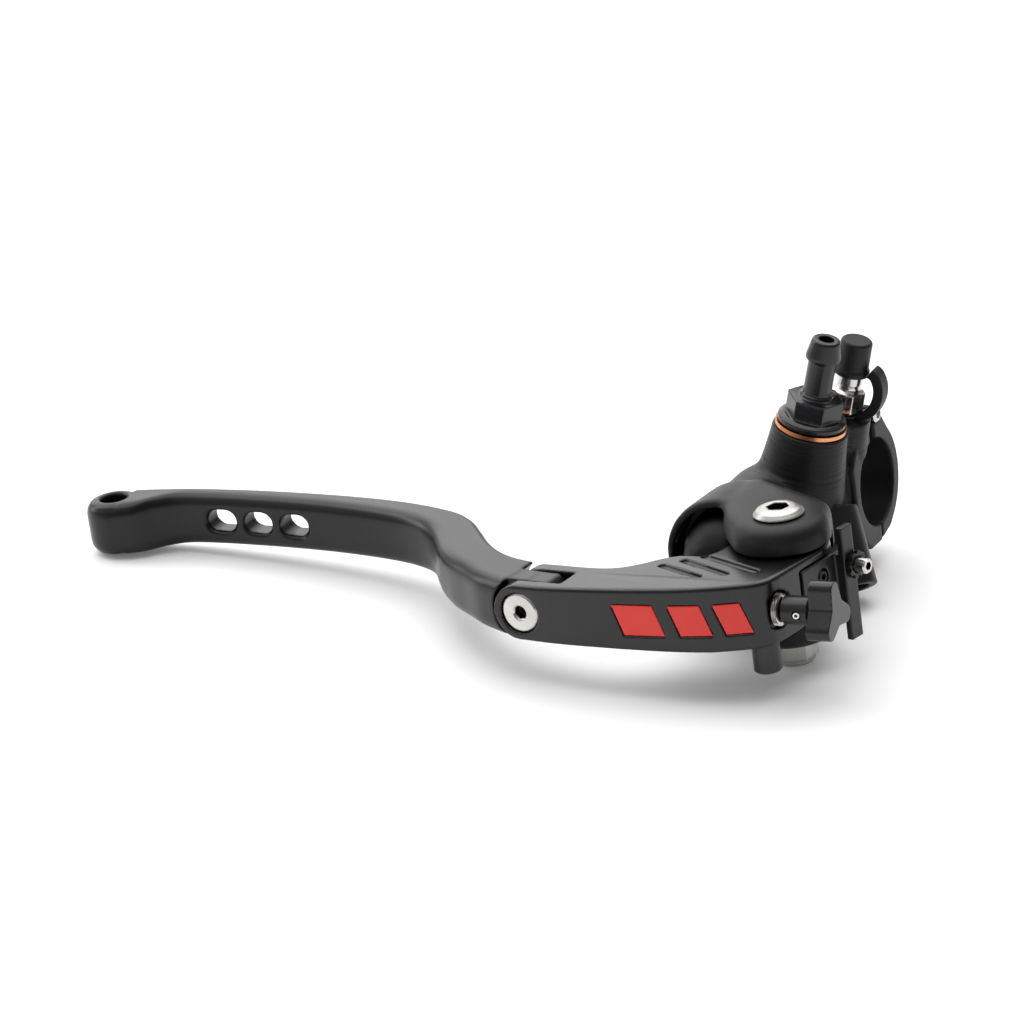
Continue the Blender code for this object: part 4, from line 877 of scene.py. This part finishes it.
def finish_material(name, dark, light, metallic, rough, grain, depth, spread, mottle,
                    coat=0.0, specular=0.5, fleck=0.35, rings=None, lathes=(), socket_shade=None):
    """Colour that drifts between two tones, uneven roughness and a fine grain in the surface.

    grain is the size of the grain in millimetres and depth its height in millimetres.
    rings is (origin, axis, pitch, depth) for turning marks round an axis, in millimetres.
    lathes are (origin, axis, radius, low, high, depth) for coarse tool lines round a boss.
    The socket shade is (origin, axis, radius, top): the screw's colour is made darker within that socket as
    painted shade.
    """
    mat = bpy.data.materials.new(name)
    mat.use_nodes = True
    tree = mat.node_tree
    shader = tree.nodes["Principled BSDF"]
    for key, value in (("Metallic", metallic), ("Coat Weight", coat), ("Coat Roughness", 0.18),
                       ("Specular IOR Level", specular)):
        shader.inputs[key].default_value = value
    place = node(tree, "ShaderNodeTexCoord")
    cloud = node(tree, "ShaderNodeTexNoise", Scale=mottle, Detail=4.0, Roughness=0.6)
    fine = node(tree, "ShaderNodeTexNoise", Scale=1000.0 / grain, Detail=3.0, Roughness=0.55)
    for noise in (cloud, fine):
        link(tree, place, "Object", noise, "Vector")
    tone = node(tree, "ShaderNodeValToRGB")
    for stop, position, colour in zip(tone.color_ramp.elements, (0.3, 0.72), (dark, light)):
        stop.position = position
        stop.color = (*colour, 1)
    link(tree, cloud, "Fac", tone, "Fac")
    colour = node(tree, "ShaderNodeMix", data_type="RGBA", blend_type="MULTIPLY")
    colour.inputs[0].default_value = fleck
    link(tree, tone, "Color", colour, 6)
    link(tree, remap(tree, fine, "Fac", (0.3, 0.7), (0.72, 1.25)), "Result", colour, 7)
    # painted shade: the screw's colour made darker within its socket
    if socket_shade:
        colour = painted_socket_shade(tree, place, colour, *socket_shade)
    link(tree, colour, 2, shader, "Base Color")
    smoothest = max(rough - spread / 2, 0.03)
    uneven = remap(tree, cloud, "Fac", (0.25, 0.75), (smoothest, rough + spread / 2))
    link(tree, uneven, "Result", shader, "Roughness")
    last = raised(tree, fine.outputs["Fac"], depth, None)
    if rings:
        last = turning_marks(tree, place, last, *rings)
    for lathe in lathes:
        last = tool_lines(tree, place, last, *lathe)
    link(tree, last, "Normal", shader, "Normal")
    FINISHES[name] = mat


def steel(name, origin, axis, rough, socket_reach=None, socket_top=None, shade=1.0):
    """Turned stainless steel, marked round the piece's own axis. A given socket is made darker within as
    painted shade, and a shade below 1 scales the tones down into a darker copy of the steel that paints shade
    on the piece.
    """
    # socket reach and top mark where painted shade makes the socket darker
    socket_shade = (origin, axis, socket_reach, socket_top) if socket_reach else None
    # shade below 1 gives a darker copy of the steel, painted shade
    dark, light = (tuple(shade * c for c in tone) for tone in ((0.50, 0.49, 0.47), (0.66, 0.65, 0.62)))
    finish_material(name, dark, light, 1.0, rough, 0.25, 0.002, 0.08, 120.0,
                    rings=(origin, axis, 0.22, 0.006), socket_shade=socket_shade)


def make_materials():
    """Every finish, each with its own grain; the turned ones know their axis."""
    lean = leaning_axis()
    screw_axis = (-hinge_axis()[0], -hinge_axis()[1], 0)
    inlet_at, bleed_at, knob_at = (*INLET_FOOT, 0), (*BLEED_FOOT, 0), (0, ADJUSTER_Y, 0)
    bore_at, along_bore, along_bar = (CYL_X, 0, 0), (0, 1, 0), (1, 0, 0)
    bosses = ((inlet_at, lean, 12.6, 9.0, INLET_SEAT, 0.42), (bleed_at, lean, 9.0, 12.0, BLEED_SEAT, 0.20))
    # name, dark and light tone, metallic, roughness, grain, its depth, spread, mottle
    finish_material("casting_black", (0.009, 0.009, 0.010), (0.015, 0.015, 0.0165), 0.0, 0.41,
                    0.22, 0.020, 0.12, 45.0, specular=0.18, lathes=bosses)
    finish_material("blasted_black", (0.006, 0.006, 0.007), (0.010, 0.010, 0.0115), 0.0, 0.43,
                    0.22, 0.020, 0.10, 45.0, specular=0.18)
    finish_material("satin_black", (0.0045, 0.0045, 0.0055), (0.008, 0.008, 0.009), 0.1, 0.27,
                    0.16, 0.0035, 0.07, 25.0)
    # the blade's copy of satin black, a little darker and less shiny: its darker colour is painted shade on
    # the blade
    finish_material("blade_black", (0.004, 0.004, 0.005), (0.007, 0.007, 0.008), 0.1, 0.30,
                    0.16, 0.0035, 0.07, 25.0, specular=0.36)
    finish_material("plate_black", (0.005, 0.005, 0.006), (0.009, 0.009, 0.010), 0.1, 0.36,
                    0.2, 0.006, 0.10, 40.0)
    finish_material("fitting_black", (0.0045, 0.0045, 0.006), (0.009, 0.009, 0.011), 0.1, 0.25,
                    0.2, 0.003, 0.08, 60.0, rings=(inlet_at, lean, 0.3, 0.010))
    finish_material("sleeve_black", (0.010, 0.010, 0.011), (0.016, 0.016, 0.018), 0.3, 0.30,
                    0.2, 0.003, 0.08, 60.0, rings=(knob_at, along_bar, 0.3, 0.008))
    finish_material("dark_steel", (0.030, 0.030, 0.032), (0.055, 0.054, 0.055), 0.8, 0.34,
                    0.2, 0.004, 0.12, 60.0)
    finish_material("bore_aluminium", (0.52, 0.52, 0.53), (0.66, 0.66, 0.67), 1.0, 0.32,
                    0.2, 0.004, 0.10, 60.0, rings=(bore_at, along_bore, 0.25, 0.006))
    finish_material("bronze", (0.36, 0.22, 0.09), (0.52, 0.33, 0.14), 1.0, 0.34,
                    0.3, 0.005, 0.12, 80.0)
    finish_material("copper", (0.58, 0.22, 0.09), (0.80, 0.36, 0.17), 1.0, 0.30,
                    0.25, 0.004, 0.14, 90.0, rings=(inlet_at, lean, 0.25, 0.006))
    finish_material("rubber", (0.006, 0.006, 0.0065), (0.011, 0.011, 0.012), 0.0, 0.5,
                    0.35, 0.010, 0.14, 50.0, specular=0.3)
    # the boot's copy of the rubber, darker and less shiny: its darker colour is painted shade within the hood
    finish_material("boot_rubber", (0.0025, 0.0025, 0.0028), (0.0045, 0.0045, 0.005), 0.0, 0.42,
                    0.35, 0.008, 0.12, 50.0, specular=0.16)
    finish_material("red_enamel", (0.72, 0.020, 0.012), (0.79, 0.028, 0.015), 0.0, 0.30,
                    0.9, 0.004, 0.06, 60.0, coat=0.25, specular=0.35, fleck=0.06)
    finish_material("nylon", (0.50, 0.47, 0.40), (0.62, 0.59, 0.51), 0.0, 0.45,
                    0.4, 0.006, 0.1, 60.0)
    # the pivot's steel is a darker copy of the same steel, painted shade on the pivot bolt and nut
    steel("pivot_steel", (*PIVOT, 0), (0, 0, 1), 0.36, 3.0, EAR_TOP + 1.9, 0.72)
    steel("hinge_steel", (*HINGE, 0), screw_axis, 0.28, 1.8, CHEEK_HALF_T - 1.0)
    steel("bleed_steel", bleed_at, lean, 0.2)
    steel("stop_steel", end_point(STOP_S, 0, STOP_Z), (*END_N, 0), 0.25, 1.15, 18.5)
    steel("clamp_steel", (CLAMP_BOLT[0], 0, CLAMP_BOLT[1]), along_bore, 0.26)
    steel("adjuster_steel", knob_at, along_bar, 0.22)
    steel("inner_steel", bore_at, along_bore, 0.25)


# fine piece: material, record slot, then voxel and relaxing passes where its skin is softened
PIECES = {
    "cylinder_body": ("casting_black", "body_black", 0.4, 3),
    "clamp_cap": ("blasted_black", "body_black", 0.42, 6),
    "clamp_bolt_upper": ("clamp_steel", "stainless"),
    "clamp_bolt_lower": ("clamp_steel", "stainless"),
    "inlet_washer": ("copper", "copper"),
    "inlet_fitting": ("fitting_black", "fitting_black", 0.2, 4),
    "bleed_screw": ("bleed_steel", "stainless", 0.16, 3),
    "bleed_cap": ("rubber", "rubber", 0.2, 5),
    "bleed_strap": ("rubber", "rubber", 0.2, 4),
    "dust_boot": ("boot_rubber", "rubber"),
    "piston_spring": ("inner_steel", "stainless"),
    "pivot_bolt": ("pivot_steel", "stainless", 0.16, 3),
    "pivot_nut": ("pivot_steel", "stainless", 0.16, 4),
    "lever_knuckle": ("satin_black", "lever_black", 0.3, 4),
    "red_inlay_1": ("red_enamel", "red_enamel", 0.16, 12),
    "red_inlay_2": ("red_enamel", "red_enamel", 0.16, 12),
    "red_inlay_3": ("red_enamel", "red_enamel", 0.16, 12),
    "switch_plate": ("plate_black", "fitting_black", 0.22, 4),
    "plate_screw": ("dark_steel", "dark_steel"),
    "stop_nut": ("dark_steel", "dark_steel"),
    "stop_screw": ("stop_steel", "stainless"),
    "hinge_screw": ("hinge_steel", "stainless", 0.14, 4),
    "lever_blade": ("blade_black", "lever_black", 0.4, 6),
    "adjuster_knob": ("satin_black", "lever_black", 0.2, 4),
    "adjuster_sleeve": ("sleeve_black", "fitting_black"),
    "adjuster_pin": ("adjuster_steel", "stainless"),
    "adjuster_ring": ("adjuster_steel", "stainless"),
    "ear_screw": ("clamp_steel", "stainless"),
}
# CAD nodes that are shown as they are
KEPT_NODES = {
    "pivot_nut_insert": "nylon", "piston_clip": "dark_steel",
    "piston": "bore_aluminium", "primary_seal": "rubber",
    "secondary_seal": "rubber", "pushrod": "inner_steel", "pivot_bush": "bronze",
    "hinge_bush": "bronze", "hinge_nut": "hinge_steel", "adjuster_shaft": "adjuster_steel",
    "reach_barrel": "dark_steel",
}


def make_pieces():
    for make in (cylinder_body, clamp_cap, clamp_bolts, inlet, bleeder, pivot, dust_boot, piston_spring,
                 lever_knuckle, inlays, switch_plate, hinge_screw, lever_blade, adjuster, ear_screw):
        make()


def settle_pieces():
    """Finish each piece's mesh, put it on its body and hide the CAD node that it stands for."""
    bpy.context.view_layer.update()
    for name, (finish, slot, *skin) in PIECES.items():
        piece = MADE[name]
        if skin:
            soften(piece, *skin)
        else:
            crisp(piece)
        piece.data.materials.clear()
        piece.data.materials.append(FINISHES[finish])
        del piece["raw"]
        piece.name = name + "_fine"
        if name in frame["nodes"]:
            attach(piece, frame["nodes"][name]["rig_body"])
            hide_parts(name)
        else:
            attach(piece, "master_cylinder")
    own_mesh(MADE["piston_spring"])
    for obj in [o for o in bpy.data.objects if o.get("raw")]:
        bpy.data.objects.remove(obj)
    for name, finish in KEPT_NODES.items():
        mesh = frame["nodes"][name].data
        mesh.materials.clear()
        mesh.materials.append(FINISHES[finish])


# ---------------------------------------------------------------- floor, light and camera
FLOOR_SLOPE = -0.0754     # the object lies on its pivot nut and on the lever's tip
FLOOR_Z = -22.3
VIEW_BACK = Vector((0.4412, -0.8297, 0.3420))
VIEW_RIGHT = Vector((0.8967, 0.4229, -0.1308))
VIEW_UP = Vector((-0.0361, 0.3644, 0.9306))
VIEW_DISTANCE = 1071.4    # camera to the pivot, along the view
VIEW_SIDE, VIEW_RISE = -65.24, 15.0        # camera's place across the view, from the pivot
LENS = 158.2


def make_floor():
    """Plain white floor, sloped to touch the pivot nut and the lever's tip."""
    mesh = bpy.data.meshes.new("floor")
    bm = bmesh.new()
    reach = 6000
    for x, y in ((-reach, -reach), (reach, -reach), (reach, reach), (-reach, reach)):
        bm.verts.new((x * MM, y * MM, (FLOOR_Z + FLOOR_SLOPE * (x - PIVOT[0])) * MM))
    bm.faces.new(bm.verts)
    bm.to_mesh(mesh)
    bm.free()
    floor = bpy.data.objects.new("floor", mesh)
    bpy.context.scene.collection.objects.link(floor)
    mat = bpy.data.materials.new("floor")
    mat.use_nodes = True
    shader = mat.node_tree.nodes["Principled BSDF"]
    for key, value in (("Base Color", (0.86, 0.86, 0.86, 1)), ("Roughness", 0.6), ("Specular IOR Level", 0.2),
                       ("Emission Color", (1, 1, 1, 1)), ("Emission Strength", 0.12)):
        shader.inputs[key].default_value = value
    mesh.materials.append(mat)


def area_light(name, at, toward, size, power):
    """Soft panel at a place, in metres, that shines toward another."""
    light = bpy.data.lights.new(name, "AREA")
    light.shape = "RECTANGLE"
    light.size, light.size_y = size
    light.energy = power
    obj = bpy.data.objects.new(name, light)
    bpy.context.scene.collection.objects.link(obj)
    obj.location = at
    obj.rotation_mode = "QUATERNION"
    obj.rotation_quaternion = (Vector(at) - Vector(toward)).to_track_quat("Z", "Y")


def soft_sun(name, toward, strength, spread):
    """Broad light without falloff, coming from the given direction."""
    light = bpy.data.lights.new(name, "SUN")
    light.energy = strength
    light.angle = math.radians(spread)
    obj = bpy.data.objects.new(name, light)
    bpy.context.scene.collection.objects.link(obj)
    obj.rotation_mode = "QUATERNION"
    obj.rotation_quaternion = Vector(toward).to_track_quat("Z", "Y")


def make_light():
    """White room seen by the camera; the object sees a dimmer one, lit from above and the left."""
    world = bpy.data.worlds.new("studio")
    bpy.context.scene.world = world
    world.use_nodes = True
    tree = world.node_tree
    room = tree.nodes["Background"]
    place = node(tree, "ShaderNodeTexCoord")
    lean = node(tree, "ShaderNodeVectorMath", operation="DOT_PRODUCT")
    lean.inputs[1].default_value = Vector((-0.55, 0.25, 0.80)).normalized()
    link(tree, place, "Generated", lean, 0)
    link(tree, remap(tree, lean, "Value", (-0.3, 0.9), (0.12, 0.75)), "Result", room, "Strength")
    room.inputs["Color"].default_value = (1, 1, 1, 1)
    white = node(tree, "ShaderNodeBackground")
    white.inputs["Strength"].default_value = 1.0
    ray = node(tree, "ShaderNodeLightPath")
    mix = node(tree, "ShaderNodeMixShader")
    link(tree, ray, "Is Camera Ray", mix, 0)
    link(tree, room, 0, mix, 1)
    link(tree, white, 0, mix, 2)
    link(tree, mix, 0, tree.nodes["World Output"], "Surface")
    soft_sun("overhead", (-0.12, 0.30, 0.92), 2.7, 80)
    area_light("back_panel", (-0.95, 1.0, 0.50), (-0.10, -0.05, 0.0), (1.0, 0.45), 2.2)
    area_light("left_panel", (-0.85, -0.05, 0.45), (-0.06, -0.05, 0.0), (0.25, 0.6), 1.6)


def make_camera():
    back, right, up = VIEW_BACK.normalized(), VIEW_RIGHT.normalized(), VIEW_UP.normalized()
    place = Vector((*PIVOT, 0)) + back * VIEW_DISTANCE + right * VIEW_SIDE + up * VIEW_RISE
    data = bpy.data.cameras.new("camera")
    data.sensor_width, data.lens = 36, LENS
    data.clip_start, data.clip_end = 0.05, 30
    camera = bpy.data.objects.new("camera", data)
    bpy.context.scene.collection.objects.link(camera)
    turn = Matrix((right, up, back)).transposed().to_4x4()
    camera.matrix_world = Matrix.Translation(place * MM) @ turn
    bpy.context.scene.camera = camera


bpy.context.scene.view_settings.view_transform = "Standard"
make_camera()
make_pieces()
make_materials()
settle_pieces()
make_floor()
make_light()
